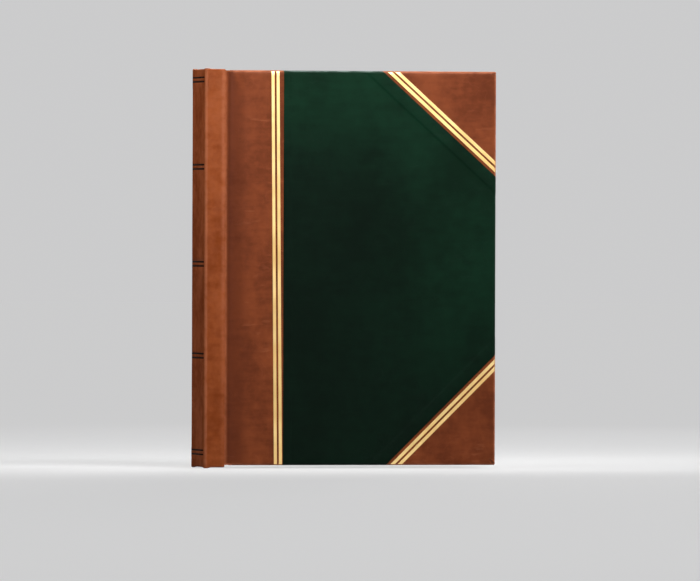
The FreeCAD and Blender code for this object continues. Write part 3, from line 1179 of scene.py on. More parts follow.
@dataclass
class Cover:
    """One cover: leather band, leather corners, siding, gilt lines, endpaper and board.

    All is shaped as the front cover and turned round for the back one.
    """

    side: Side
    pitch: float = 5.0 * MM
    edge_round: float = 2.0 * MM
    corner_round: float = 1.0 * MM
    hinge_round: float = 0.5 * MM
    inner_round: float = 0.4 * MM
    face_ease: float = 0.8
    head_inset: float = 1.2 * MM
    tail_inset: float = 2.2 * MM

    # Endpaper and board
    turn_in: float = 15.0 * MM
    recess: float = 0.5 * MM
    recess_wall: float = 0.3 * MM
    paper_sunk: float = 0.06 * MM
    paper_round: float = 0.12 * MM
    board_inset: float = 3.2 * MM
    board_round: float = 0.5 * MM

    # Leather
    leather_swells: tuple[Swell, ...] = (Swell(21.0 * MM, 0.07 * MM, 1.7), Swell(8.0 * MM, 0.025 * MM, 5.1))
    hinge_slope: float = 12.0 * MM
    hinge_drop: float = 0.9 * MM
    hinge_pitch: float = 0.8 * MM
    hinge_calm: Pair = (3.0 * MM, 9.0 * MM)
    # Painted shade on the slope into the joint: its reach, how far below the head it widens, and its least
    # share of the reach there.
    joint_shade_reach: float = 23.0 * MM
    joint_shade_head: float = 26.0 * MM
    joint_shade_least: float = 0.25
    # Worn outer edges of the leather, with a painted highlight on their roundings.
    leather_edge_wear_and_highlight: Pair = (0.2 * MM, 2.7 * MM)
    head_growth: Pair = (3.4 * MM, 0.0)
    tail_growth: Pair = (3.6 * MM, 2.6 * MM)

    # Siding
    siding_swells: tuple[Swell, ...] = (Swell(26.0 * MM, 0.06 * MM, 9.3), Swell(7.0 * MM, 0.02 * MM, 3.3))
    siding_rise: float = 0.12 * MM
    siding_edge: float = 0.45 * MM
    edge_row: float = 0.35
    field_drop: float = 0.42 * MM
    ridge_half: float = 1.1 * MM
    ridge_rows: tuple[float, ...] = (-1.0, -0.4, 0.4, 1.0)
    band_underlap: float = 5.6 * MM
    corner_underlap: float = 9.4 * MM
    # A painted highlight along the head edge, and worn side edges with a little painted highlight.
    side_wear_and_highlight: Pair = (0.2 * MM, 1.5 * MM)
    side_wear_and_highlight_most: float = 0.3
    head_highlight: Pair = (0.1 * MM, 1.5 * MM)
    head_calm: float = 0.65
    # Painted light and shade on the siding: lighter towards the head and the fore-edge, darker towards the
    # tail beside the band.
    lit_head_reach: Pair = (-15.0 * MM, 105.0 * MM)
    lit_rise: float = 170.0 * MM
    lit_fore: float = 0.75
    lit_fore_start: float = 0.2

    # Gilt lines
    gilt_rim: float = 2.0 * MM
    gilt_width: float = 2.45 * MM
    gilt_gap: float = 1.5 * MM
    gilt_rise: float = 0.06 * MM
    gilt_slope: float = 0.12 * MM
    gilt_over_edge: float = 0.5 * MM
    gilt_calm: Pair = (10.0 * MM, 20.0 * MM)
    gilt_drift: float = math.radians(0.56)

    # Found in the frame
    low: Vector = field(init=False)
    high: Vector = field(init=False)
    recess_ends: Pair = field(init=False)
    lines: dict[str, FaceLine] = field(init=False)

    def __post_init__(self) -> None:
        """Take the cover's box and the edges of its leather from the frame."""
        boxes = [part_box(f"front_{part}") for part in ("leather", "corners", "siding")]
        self.low = Vector(min(box[0][axis] for box in boxes) for axis in range(3))
        self.high = Vector(max(box[1][axis] for box in boxes) for axis in range(3))
        self.lines = {
            "band": FaceLine((boxes[0][1].x, 0.0), (1.0, 0.0)),
            "head": self.corner_line(self.high.z, -1.0, self.head_growth),
            "tail": self.corner_line(self.low.z, 1.0, self.tail_growth),
        }
        self.recess_ends = (self.low.z + self.turn_in, self.high.z - self.turn_in)
        self.low.z += self.tail_inset
        self.high.z -= self.head_inset

    def corner_line(self, edge_z: float, inward: float, growth: Pair) -> FaceLine:
        """Find the slanting edge of a leather corner.

        Args:
            edge_z: Height of the head or the tail.
            inward: 1 if the cover lies above that height, or -1 if it lies below.
            growth: How much wider and taller the corner is than the CAD one.

        Returns:
            The edge, with the siding ahead of it.
        """
        middle = (self.low.z + self.high.z) / 2
        points = [point for point in node_points("front_corners") if (middle - point.z) * inward > 0.0]
        width = self.high.x - min(point.x for point in points) + growth[0]
        height = max(abs(point.z - edge_z) for point in points) + growth[1]
        slant = math.hypot(width, height)
        return FaceLine((self.high.x - width, edge_z), (-height / slant, inward * width / slant))

    def build(self) -> None:
        """Make the cover's pieces."""
        self.add(self.shape_leather("band"), "leather_band", COVER_LEATHER, "leather")
        for end in ("head", "tail"):
            self.add(self.shape_leather(end), f"{end}_corner", COVER_LEATHER, "corners")
        self.add(self.shape_siding(), "green_siding", SIDING, "siding")
        inner_rim = self.gilt_rim + self.gilt_width + self.gilt_gap
        for place in self.lines:
            for number, rim in enumerate((self.gilt_rim, inner_rim), start=1):
                form = self.shape_gilt(self.gilt_guide(place), rim)
                self.add(form, f"{place}_gilt_{number}", GILT, "gilt_lines")
        self.add(self.shape_endpaper(), "lining", ENDPAPER, "endpaper")
        self.add(self.shape_board(), "core_board", GREYBOARD, "board")

    def add(self, form: Form, name: str, finish: Finish, part: str) -> None:
        """Make a form a piece of this cover.

        Args:
            form: The form, shaped for the front cover.
            name: Name of the piece, without the side.
            finish: Its surface.
            part: Name of the CAD node that it replaces, without the side.
        """
        form.face(self.side)
        word = self.side.word
        form.ride(self.side.body, f"{word}_{name}", finish, f"{word}_{part}")

    def slab(self) -> Form:
        """Shape the covered board as one block with rounded edges.

        Returns:
            The block.
        """
        form = Form().add_block(self.low, self.high)
        outer, inner, hinge = Edges.on(1, self.low.y), Edges.on(1, self.high.y), Edges.on(0, self.low.x)
        form.round_fore_corners(self.low, self.high, self.corner_round, segments=4)
        form.round_edges(outer & ~hinge, self.edge_round, segments=6)
        form.round_edges(inner & ~hinge, self.inner_round, segments=2)
        form.round_edges(outer & hinge, self.hinge_round, segments=4)
        return form

    def add_rows(self, form: Form) -> None:
        """Add the rows of edges that the surface's unevenness needs."""
        form.rows(0, steps(self.low.x, self.high.x, self.pitch))
        form.rows(2, steps(self.low.z, self.high.z, self.pitch))

    def open_recess(self, form: Form) -> None:
        """Sink the place of the endpaper into the inside of a form.

        Args:
            form: The form.
        """
        far_x = self.high.x - self.turn_in
        low_z, high_z = self.recess_ends
        form.rows(0, (far_x, far_x - self.recess_wall))
        form.rows(2, (low_z, low_z + self.recess_wall, high_z - self.recess_wall, high_z))
        form.shift(lambda place: Vector((0.0, -self.recess if self.in_recess(place) else 0.0, 0.0)))

    def in_recess(self, place: Vector) -> bool:
        """Say whether a place lies on the inside, where the endpaper goes.

        Args:
            place: The place.

        Returns:
            Whether it does.
        """
        low_z, high_z = self.recess_ends
        beside = place.x < self.high.x - self.turn_in - TOUCH
        between = low_z + TOUCH < place.z < high_z - TOUCH
        return beside and between and place.y > self.high.y - TOUCH

    def lift(self, form: Form, rise: Callable[[Vector], float]) -> None:
        """Raise the outer face of a form by what rise says."""
        form.shift(lambda place: Vector((0.0, -rise(place) * self.face_share(place), 0.0)))

    def face_share(self, place: Vector) -> float:
        """Return 1 on the outer face, easing to 0 towards the inside."""
        return smooth_step(0.0, self.face_ease, (self.high.y - place.y) / (self.high.y - self.low.y))

    def leather_rise(self, place: Vector) -> float:
        """Find how far the leather stands above the plain face.

        Args:
            place: A place on the face.

        Returns:
            The height, which is even along the gilt lines and falls towards the joint.
        """
        uneven = sum(swell.at(place) for swell in self.leather_swells)
        uneven *= smooth_step(*self.hinge_calm, place.x - self.low.x)
        for line in self.lines.values():
            uneven *= smooth_step(*self.gilt_calm, abs(line.distance(place)))
        return uneven - self.hinge_fall(place.x)

    def hinge_fall(self, across: float) -> float:
        """Return how far the face has fallen towards the joint at some X."""
        return self.hinge_drop * (1.0 - smooth_step(0.0, self.hinge_slope, across - self.low.x))

    def underlap(self, name: str) -> float:
        """Return how far the leather behind a line reaches under the siding."""
        return self.band_underlap if name == "band" else self.corner_underlap

    def siding_rise_at(self, place: Vector) -> float:
        """Find how far the siding stands above the plain face.

        Args:
            place: A place on the face.

        Returns:
            The height, which drops off the hidden edges of the leather.
        """
        raised = 0.0
        nearest = self.siding_edge
        for name, line in self.lines.items():
            ahead = line.distance(place)
            drop = self.underlap(name)
            raised = max(raised, 1.0 - smooth_step(drop - self.ridge_half, drop + self.ridge_half, ahead))
            nearest = min(nearest, ahead)
        lip = smooth_step(0.0, self.siding_edge, nearest)
        uneven = sum(swell.at(place) for swell in self.siding_swells)
        return self.siding_rise * lip - self.field_drop * (1.0 - raised) + uneven

    def from_edge(self, place: Vector) -> float:
        """Return how far a place lies from the nearest outer edge of the cover."""
        return min(place.z - self.low.z, self.high.z - place.z, self.high.x - place.x)

    def rub_leather(self, place: Vector) -> float:
        """Return how much the leather's outer edges are rubbed at a place, which is partly wear and partly
        a painted highlight.
        """
        return 1.0 - smooth_step(*self.leather_edge_wear_and_highlight, self.from_edge(place))

    def rub_siding(self, place: Vector) -> float:
        """Find the siding's rubbed edges and its painted highlight.

        Args:
            place: A place on the siding.

        Returns:
            A share, which is greatest along the outer edge at the head, where it is a painted highlight.
        """
        inward = smooth_step(0.5 * self.edge_round, self.edge_round, place.y - self.low.y)
        at_head = 1.0 - smooth_step(*self.head_highlight, self.high.z - place.z)
        at_side = 1.0 - smooth_step(*self.side_wear_and_highlight, self.from_edge(place))
        return max(at_head * (1.0 - self.head_calm * inward), self.side_wear_and_highlight_most * at_side)

    def pooled_at(self, place: Vector) -> float:
        """Find how much painted shade lies on the slope towards the joint.

        Args:
            place: A place on the leather.

        Returns:
            A share. The painted shade starts narrow at the head.
        """
        widened = smooth_step(0.0, self.joint_shade_head, self.high.z - place.z)
        reach = self.joint_shade_reach * (self.joint_shade_least + (1.0 - self.joint_shade_least) * widened)
        return 1.0 - smooth_step(0.0, reach, place.x - self.low.x)

    def painted_siding_shade_at(self, place: Vector) -> float:
        """Find how much painted shade lies on the siding.

        Args:
            place: A place on the siding.

        Returns:
            A share. It is least towards the head and the fore-edge, which shows the lighter tint as painted
            light, and most towards the tail beside the band.
        """
        band_x = self.lines["band"].point[0]
        across = (place.x - band_x) / (self.high.x - band_x)
        upward = smooth_step(0.0, self.lit_rise, place.z - self.low.z)
        shaded = 1.0 - self.lit_fore * upward * smooth_step(self.lit_fore_start, 1.0, across)
        return shaded * smooth_step(*self.lit_head_reach, self.high.z - place.z)

    def shape_leather(self, place: str) -> Form:
        """Shape the leather band or a leather corner.

        Args:
            place: The line that it ends at.

        Returns:
            The leather.
        """
        form = self.slab()
        self.lines[place].cut(form, 0.0, Keep.BEHIND)
        self.add_rows(form)
        form.rows(0, steps(self.low.x, self.low.x + self.hinge_slope, self.hinge_pitch))
        self.open_recess(form)
        self.lift(form, self.leather_rise)
        # Worn outer edges with a painted highlight on their roundings.
        form.paint("rub", self.rub_leather)
        # Painted shade on the slope into the joint.
        form.paint("deep", self.pooled_at)
        return form

    def shape_siding(self) -> Form:
        """Shape the siding, which laps over the hidden edges of the leather.

        Returns:
            The siding.
        """
        form = self.slab()
        for line in self.lines.values():
            line.cut(form, 0.0, Keep.AHEAD)
        self.add_rows(form)
        for name, line in self.lines.items():
            ridge = [self.underlap(name) + share * self.ridge_half for share in self.ridge_rows]
            for offset in (self.edge_row * self.siding_edge, self.siding_edge, *ridge):
                line.cut(form, offset)
        self.open_recess(form)
        self.lift(form, self.siding_rise_at)
        # Painted highlight along the head edge, with a little wear and highlight on the other edges.
        form.paint("rub", self.rub_siding)
        # Painted shade towards the tail beside the band, leaving painted light towards the head and the
        # fore-edge.
        form.paint("deep", self.painted_siding_shade_at)
        return form

    def gilt_guide(self, place: str) -> FaceLine:
        """Find the line that a gilt pair follows.

        Args:
            place: The line on the face that the pair runs beside.

        Returns:
            That line, which along the band drifts a little.
        """
        line = self.lines[place]
        if place != "band":
            return line
        middle = (self.low.z + self.high.z) / 2
        return FaceLine((line.point[0], middle), (math.cos(self.gilt_drift), math.sin(self.gilt_drift)))

    def shape_gilt(self, line: FaceLine, rim: float) -> Form:
        """Shape one gilt line.

        Args:
            line: The line that it follows.
            rim: Leather between that line and the gilt.

        Returns:
            The foil, which follows the leather over the rounded edges.
        """
        form = self.slab()
        form.sharp = FOIL_ANGLE
        skin = Vector((0.0, self.low.y + self.gilt_over_edge, 0.0))
        form.cut(skin, Vector((0.0, 1.0, 0.0)), Keep.BEHIND, capped=False)
        line.cut(form, -rim, Keep.BEHIND, capped=False)
        line.cut(form, -rim - self.gilt_width, Keep.AHEAD, capped=False)
        self.add_rows(form)
        self.lift(form, self.leather_rise)
        made = bmesh.ops.extrude_face_region(form.bm, geom=list(form.bm.faces), use_keep_orig=True)
        form.drag(made, (0.0, -self.gilt_rise, 0.0))
        bmesh.ops.inset_region(
            form.bm,
            faces=[part for part in made["geom"] if isinstance(part, BMFace)],
            thickness=self.gilt_slope,
            depth=self.gilt_rise,
            use_even_offset=True,
            use_boundary=True,
        )
        bmesh.ops.recalc_face_normals(form.bm, faces=form.bm.faces)
        return form

    def shape_endpaper(self) -> Form:
        """Shape the endpaper pasted into the recess inside the cover.

        Returns:
            The endpaper.
        """
        low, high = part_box("front_endpaper")
        high.y -= self.paper_sunk
        form = Form().add_block(low, high)
        form.round_edges(Edges.on(1, high.y), self.paper_round, segments=2)
        return form

    def shape_board(self) -> Form:
        """Shape the board inside the covering, clear of its rounded edges.

        Returns:
            The board.
        """
        low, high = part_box("front_board")
        inset = Vector((self.board_inset, 0.0, self.board_inset))
        form = Form().add_block(low + inset, high - inset)
        form.round_edges(Edges(lambda edge: True), self.board_round, segments=2)
        return form


@dataclass
class Spine:
    """The leather of the spine and its two hinge strips, with dark rules pressed in."""

    # Leather
    spine_round: float = 2.4 * MM
    strip_round: float = 3.2 * MM
    end_round: float = 1.0 * MM
    lining: float = 0.15 * MM
    turn_in: Pair = (14.8 * MM, 16.0 * MM)
    turn_in_step: float = 0.12 * MM
    swell: Swell = Swell(24.0 * MM, 0.06 * MM, 7.7)
    dish: float = 0.32 * MM
    dish_from_spine: Pair = (2.025 * MM, 3.51 * MM)
    dish_from_joint: Pair = (2.16 * MM, 5.94 * MM)
    spine_ease: Pair = (0.2 * MM, 1.6 * MM)
    strip_ease: Pair = (0.2 * MM, 1.4 * MM)
    head_dip: float = 0.5 * MM
    tail_dip: float = 0.75 * MM
    dip_reach: float = 6.0 * MM
    bead_middle: Pair = (1.2 * MM, 0.6 * MM)
    bead_reach: Pair = (1.5 * MM, 5.0 * MM)

    # Rows of edges
    height_pitch: float = 6.0 * MM
    bead_rows: Pair = (1.6 * MM, 4.0 * MM)
    bead_pitch: float = 0.3 * MM
    strip_pitch: float = 0.9 * MM
    spine_pitch: float = 5.0 * MM

    # Rubbed edges, with painted highlights and a painted sheen
    strip_wear_and_sheen: float = 0.48
    tail_share: float = 0.45
    end_wear_and_highlight: Pair = (0.2 * MM, 1.8 * MM)
    ridge_core: float = 0.4 * MM
    ridge_depth: float = 0.5 * MM
    spine_ridge: Pair = (1.2 * MM, 2.4 * MM)
    strip_ridge: Pair = (1.6 * MM, 4.6 * MM)

    # Rules
    rule_depth: float = 0.25 * MM
    rule_shoulder: float = 0.25 * MM
    foil_proud: float = 0.05 * MM
    foil_sunk: float = 0.3 * MM
    foil_round: float = 0.1 * MM

    # Found in the frame
    low: Vector = field(init=False)
    high: Vector = field(init=False)
    inner: Pair = field(init=False)
    rules: list[Pair] = field(init=False)
    rule_reach: float = field(init=False)

    def __post_init__(self) -> None:
        """Take the spine's box, its inner faces and the places of its rules from the frame."""
        self.low, self.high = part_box("spine_leather")
        board_x, board_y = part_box("spine_board")[1].x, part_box("front_hinge_board")[1].y
        self.inner = (board_x + self.lining, -board_y - self.lining)
        self.rules = members("spine_rules")
        self.rule_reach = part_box("spine_rules")[1].y

    def build(self) -> None:
        """Make the spine's leather and the foil in its rules."""
        self.shape_leather().ride("spine", "spine_leather_wrap", SPINE_LEATHER, "spine_leather")
        self.shape_rules().ride("spine", "spine_rule_foil", DARK_FOIL, "spine_rules")

    def shape_leather(self) -> Form:
        """Shape the leather round the spine and the hinge strips.

        Returns:
            The leather.
        """
        low, high = self.low, self.high
        inner_x, inner_y = self.inner
        front = ((low.x, low.y), (high.x, low.y), (high.x, -inner_y), (inner_x, -inner_y))
        back = [(x, -y) for x, y in reversed(front)]
        form = Form().add_prism((*front, *back), low.z, high.z)
        faces = Edges.on(1, low.y) | Edges.on(1, high.y)
        form.round_edges(Edges.on(0, low.x) & faces, self.spine_round, segments=8)
        form.round_edges(Edges.on(0, high.x) & faces, self.strip_round, segments=6)
        for end in (low.z, high.z):
            form.round_edges(Edges.on(2, end) & Edges(self.is_outer), self.end_round, segments=4)
        self.add_rows(form)
        form.shift(self.relief)
        # Worn strips and ends, with painted highlights on the ridges and a painted sheen that grows towards
        # the head.
        form.paint("rub", self.wear_and_highlight_at)
        return form

    def is_outer(self, edge: BMEdge) -> bool:
        """Say whether an edge belongs to the outer face of the leather."""
        middle = (edge.verts[0].co + edge.verts[1].co) / 2
        return abs(middle.y) > self.inner[1] + TOUCH or middle.x < self.inner[0] - TOUCH

    def add_rows(self, form: Form) -> None:
        """Add the rows of edges that the rules, beads and turn-ins need.

        Args:
            form: The leather.
        """
        low, high, reach, shoulder = self.low, self.high, self.rule_reach, self.rule_shoulder
        form.rows(2, steps(low.z, high.z, self.height_pitch))
        for end, inward in ((low.z, 1.0), (high.z, -1.0)):
            near, far = self.turn_in
            form.rows(2, [end + inward * drop for drop in (near, (near + far) / 2, far)])
        for bottom, top in self.rules:
            form.rows(2, (bottom - shoulder, bottom, top, top + shoulder))
        near, far = self.bead_rows
        form.rows(0, steps(low.x + near, low.x + far, self.bead_pitch))
        form.rows(0, steps(low.x + far, high.x - self.strip_round, self.strip_pitch))
        form.rows(1, (-reach - shoulder, -reach, reach, reach + shoulder))
        form.rows(1, steps(-reach, reach, self.spine_pitch))

    def from_end(self, place: Vector) -> float:
        """Return how far a place lies from the head or the tail, whichever is nearer."""
        return min(place.z - self.low.z, self.high.z - place.z)

    def on_strip(self, place: Vector) -> float:
        """Return 1 on the outer face of a hinge strip, easing to 0 inside it."""
        return 1.0 - smooth_step(*self.strip_ease, self.high.y - abs(place.y))

    def rule_share(self, place: Vector) -> float:
        """Find how far a place lies in a rule.

        Args:
            place: A place on the spine.

        Returns:
            1 in the bottom of a rule and 0 off it.
        """
        shoulder = self.rule_shoulder
        beside = 1.0 - smooth_step(self.rule_reach, self.rule_reach + shoulder, abs(place.y))
        deepest = 0.0
        for bottom, top in self.rules:
            above = smooth_step(bottom - shoulder, bottom, place.z)
            deepest = max(deepest, above * (1.0 - smooth_step(top, top + shoulder, place.z)))
        return deepest * beside

    def relief(self, place: Vector) -> Vector:
        """Find how the leather is sunk.

        Args:
            place: A place on the plain block.

        Returns:
            The way from there to the leather. The ends dip between their corner beads.
        """
        across = place.x - self.low.x
        depth = self.high.y - abs(place.y)
        from_end = self.from_end(place)
        sunk = self.turn_in_step * smooth_step(*self.turn_in, from_end)
        sunk += self.swell.height + self.swell.at(Vector((place.x + place.y, 0.0, place.z)))
        dished = smooth_step(*self.dish_from_spine, across)
        dished *= smooth_step(*self.dish_from_joint, self.high.x - place.x)
        strip_depth = (sunk + self.dish * dished) * self.on_strip(place)
        on_spine = 1.0 - smooth_step(*self.spine_ease, across)
        spine_depth = (sunk + self.rule_depth * self.rule_share(place)) * on_spine
        from_bead = math.hypot(across - self.bead_middle[0], depth - self.bead_middle[1])
        near_end = 1.0 - smooth_step(0.0, self.dip_reach, from_end)
        dipped = smooth_step(*self.bead_reach, from_bead) * near_end
        at_tail = place.z < (self.low.z + self.high.z) / 2
        dip = self.tail_dip if at_tail else -self.head_dip
        return Vector((spine_depth, -math.copysign(strip_depth, place.y), dipped * dip))

    def wear_and_highlight_at(self, place: Vector) -> float:
        """Find how much the strips, ridges and ends are rubbed, with painted highlights and sheen.

        Args:
            place: A place on the leather.

        Returns:
            A share, which on the strips grows towards the head as a painted sheen.
        """
        depth = self.high.y - abs(place.y)
        height = (place.z - self.low.z) / (self.high.z - self.low.z)
        upward = self.tail_share + (1.0 - self.tail_share) * height
        at_end = 1.0 - smooth_step(*self.end_wear_and_highlight, self.from_end(place))
        wear_and_sheen = max(self.strip_wear_and_sheen * upward * self.on_strip(place), at_end)
        # The ridges' lighter lines are painted highlights; the strip ridge's grows towards the head as
        # painted light.
        ridges = (
            (place.x - self.low.x, self.spine_ridge, 1.0),
            (self.high.x - place.x, self.strip_ridge, upward),
        )
        for across, (middle, reach), most in ridges:
            away = math.hypot(across - middle, depth - self.ridge_depth)
            wear_and_sheen = max(wear_and_sheen, most * (1.0 - smooth_step(self.ridge_core, reach, away)))
        return wear_and_sheen

    def shape_rules(self) -> Form:
        """Shape the strips of foil in the rules.

        Returns:
            The foil.
        """
        face_x = self.low.x + self.rule_depth
        form = Form()
        for bottom, top in self.rules:
            low = Vector((face_x - self.foil_proud, -self.rule_reach, bottom))
            form.add_block(low, Vector((face_x + self.foil_sunk, self.rule_reach, top)))
        form.round_edges(Edges.on(0, face_x - self.foil_proud), self.foil_round, segments=2)
        return form


@dataclass
class Joint:
    """The leather that bends in the groove between a hinge strip and its cover.

    Its outer face leaves the strip's edge, dips and runs out on the slope of the cover.
    """

    cover: Cover
    points: int = 30
    pitch: float = 20.0 * MM
    thick: float = 0.5 * MM
    strip_tuck: float = 0.7 * MM
    strip_fall: float = 1.95 * MM
    fall_width: float = 2.9 * MM
    floor_fall: float = 1.2 * MM
    floor_width: float = 2.2 * MM
    lap_start: float = 0.4 * MM
    lap_width: float = 1.8 * MM
    lap_rise: float = 0.02 * MM
    end_gap: float = 0.25 * MM
    end_rows: Pair = (0.5 * MM, 1.6 * MM)
    end_wear_and_highlight: Pair = (0.2 * MM, 1.6 * MM)
    strip_wear_and_sheen: float = 0.75
    strip_x: float = field(init=False)
    start: Pair = field(init=False)
    ends: Pair = field(init=False)

    def __post_init__(self) -> None:
        """Take the edge of the hinge strip from the frame, and the ends from the cover."""
        low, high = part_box("spine_leather")
        self.strip_x = high.x
        self.start = (high.x - self.strip_tuck, low.y + self.strip_fall)
        self.ends = (self.cover.low.z + self.end_gap, self.cover.high.z - self.end_gap)

    def build(self) -> None:
        """Make the joint's leather, in the groove between spine and cover."""
        side = self.cover.side
        low_z, high_z = self.ends
        form = Form().add_ribbon(self.path(), low_z, high_z, self.thick)
        form.rows(2, steps(low_z, high_z, self.pitch))
        form.rows(2, [end for near in self.end_rows for end in (low_z + near, high_z - near)])
        # Worn ends and a painted highlight beside the strip, then painted shade down into the groove.
        form.paint("rub", self.wear_and_highlight_at)
        form.paint("deep", self.painted_groove_shade_at)
        form.face(side)
        made = form.piece(f"{side.word}_joint_bend", COVER_LEATHER, f"{side.word}_joint_leather")
        depth = side.value * abs(self.start[1])
        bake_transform(made)

    def path(self) -> list[Pair]:
        """Trace the outer face of the leather.

        Returns:
            Points as X and Y, from the strip to the cover.
        """
        cover = self.cover
        start_x, start_y = self.start
        end_x = cover.low.x + self.lap_width
        dip = cover.low.y + self.floor_fall
        points = []
        for index in range(self.points + 1):
            x = start_x + (end_x - start_x) * index / self.points
            slope_y = cover.low.y + cover.hinge_fall(x) - self.lap_rise
            lapped = smooth_step(self.strip_x + self.floor_width, cover.low.x + self.lap_start, x)
            floor_y = dip + (slope_y - dip) * lapped
            fallen = smooth_step(start_x, self.strip_x + self.fall_width, x)
            points.append((x, start_y + (floor_y - start_y) * fallen))
        return points

    def wear_and_highlight_at(self, place: Vector) -> float:
        """Find how much the leather is worn and painted with a highlight.

        Args:
            place: A place on the leather.

        Returns:
            A share, which is greatest at the worn ends and beside the strip, where it is a painted
            highlight.
        """
        low_z, high_z = self.ends
        at_end = 1.0 - smooth_step(*self.end_wear_and_highlight, min(place.z - low_z, high_z - place.z))
        at_strip = 1.0 - smooth_step(self.start[0], self.strip_x + self.fall_width, place.x)
        return max(at_end, self.strip_wear_and_sheen * at_strip)

    def painted_groove_shade_at(self, place: Vector) -> float:
        """Return how much painted shade lies at a place, which grows down to the groove's floor."""
        return smooth_step(self.strip_x, self.strip_x + self.fall_width, place.x)


@dataclass
class Leaves:
    """The stock leaves: black card on linen hinges, clear strips and glassine sheets."""

    corner_round: float = 2.0 * MM
    corner_segments: int = 5
    card_edge: float = 0.15 * MM
    linen_tuck: float = 1.0 * MM
    linen_pitch: float = 2.0 * MM
    film_thick: float = 0.1 * MM
    film_lift: float = 0.02 * MM
    hem_height: float = 1.3 * MM
    hem_thick: float = 0.17 * MM
    sheet_wave: float = 0.16 * MM
    wave_size: float = 45.0 * MM
    sheet_pitch: float = 10.0 * MM

    def build(self) -> None:
        """Make every leaf that the frame has."""
        for number in LEAF_NUMBERS:
            self.build_leaf(number)
            self.build_films(number)
            if f"interleaf_{number}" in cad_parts:
                self.build_sheet(number)

    def build_leaf(self, number: str) -> None:
        """Make the card of a leaf and the linen that it turns on.

        Args:
            number: The two digits that end the names of the leaf's nodes.
        """
        node, body = f"leaf_{number}", f"stock_leaf_{number}"
        low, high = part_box(node)
        middle, half = (low.y + high.y) / 2, (high.y - low.y) / 2
        points = node_points(node)
        card_x = min(point.x for point in points if abs(point.y - middle) > half - TOUCH)
        linen_half = max(abs(point.y - middle) for point in points if point.x < low.x + TOUCH)
        card = Form().add_block(Vector((card_x, low.y, low.z)), high)
        card.round_fore_corners(low, high, self.corner_round, self.corner_segments)
        card.round_edges(Edges.on(1, low.y) | Edges.on(1, high.y), self.card_edge, segments=2)
        card.ride(body, f"leaf_card_{number}", BLACK_CARD, node)
        linen = Form().add_block(
            Vector((low.x, middle - linen_half, low.z)),
            Vector((card_x + self.linen_tuck, middle + linen_half, high.z)),
        )
        linen.rows(0, steps(low.x, card_x, self.linen_pitch))
        linen.ride(body, f"leaf_hinge_{number}", HINGE_LINEN, node)

    def build_films(self, number: str) -> None:
        """Make a leaf's clear strips, each with a welded hem along its lower edge.

        Args:
            number: The two digits that end the names of the leaf's nodes.
        """
        node = f"film_strips_{number}"
        low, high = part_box(node)
        card_low, card_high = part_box(f"leaf_{number}")
        form = Form()
        for bottom, top in members(node):
            for face, facing in ((card_low.y, -1.0), (card_high.y, 1.0)):
                inner_y = face + facing * self.film_lift
                for height, thick in ((top - bottom, self.film_thick), (self.hem_height, self.hem_thick)):
                    near, far = sorted((inner_y, inner_y + facing * thick))
                    form.add_block(Vector((low.x, near, bottom)), Vector((high.x, far, bottom + height)))
        form.ride(f"stock_leaf_{number}", f"clear_strips_{number}", CLEAR_FILM, node)

    def build_sheet(self, number: str) -> None:
        """Make the glassine sheet behind a leaf, a little wavy.

        Args:
            number: The two digits that end the names of the leaf's nodes.
        """
        node = f"interleaf_{number}"
        low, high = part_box(node)
        form = Form().add_block(low, high)
        form.round_fore_corners(low, high, self.corner_round, self.corner_segments)
        form.rows(0, steps(low.x, high.x, self.sheet_pitch))
        form.rows(2, steps(low.z, high.z, self.sheet_pitch))
        wave = Swell(self.wave_size, self.sheet_wave / 2, float(number))
        form.shift(lambda place: Vector((0.0, wave.height + wave.at(place), 0.0)))
        form.ride(f"stock_leaf_{number}", f"glassine_{number}", GLASSINE, node)


@dataclass
class Binding:
    """The hidden boards, clamp strips, stubs and screw posts, most of which keep their CAD shapes."""

    core_round: float = 1.0 * MM
    finishes: dict[str, Finish] = field(
        default_factory=lambda: {
            "spine_board": GREYBOARD,
            "front_clamp_strip": STUB_CARD,
            "back_clamp_strip": STUB_CARD,
            "leaf_stubs": STUB_CARD,
            "post_barrels": BRASS,
            "post_screws": BRASS,
        }
    )

    def build(self) -> None:
        """Make the hinge boards, and give each CAD node that stays its finish."""
        for side in Side:
            node = f"{side.word}_hinge_board"
            self.shape_hinge_board(node, side).ride("spine", f"{side.word}_hinge_core", GREYBOARD, node)
        for node, finish in self.finishes.items():
            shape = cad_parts[node]
            shape.data.materials.clear()
            shape.data.materials.append(finish.material())
            LOG.info("%s: CAD shape in %s", node, finish.name)

    def shape_hinge_board(self, node: str, side: Side) -> Form:
        """Shape a hinge board, eased where the leather folds over it.

        Args:
            node: The CAD board whose place it takes.
            side: The cover that it lies beside.

        Returns:
            The board.
        """
        low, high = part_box(node)
        form = Form().add_block(low, high)
        outer_y = low.y if side is Side.FRONT else high.y
        form.round_edges(Edges.on(1, outer_y) & Edges.on(0, high.x), self.core_round, segments=4)
        return form


# Studio


@dataclass(frozen=True)
class Softbox:
    """A soft rectangular light that faces the album."""

    name: str
    place: Triple
    width: float
    height: float
    power: float
    target: Triple = (0.0, 0.0, 0.16)
    spread: float = math.pi

    def build(self) -> None:
        """Hang the light."""
        lamp = bpy.data.lights.new(self.name, "AREA")
        lamp.shape = "RECTANGLE"
        lamp.size = self.width
        lamp.size_y = self.height
        lamp.energy = self.power
        lamp.spread = self.spread
        made = link(self.name, lamp)
        made.location = self.place
        made.rotation_euler = look_along(Vector(self.target) - Vector(self.place)).to_euler()
        made.visible_camera = False


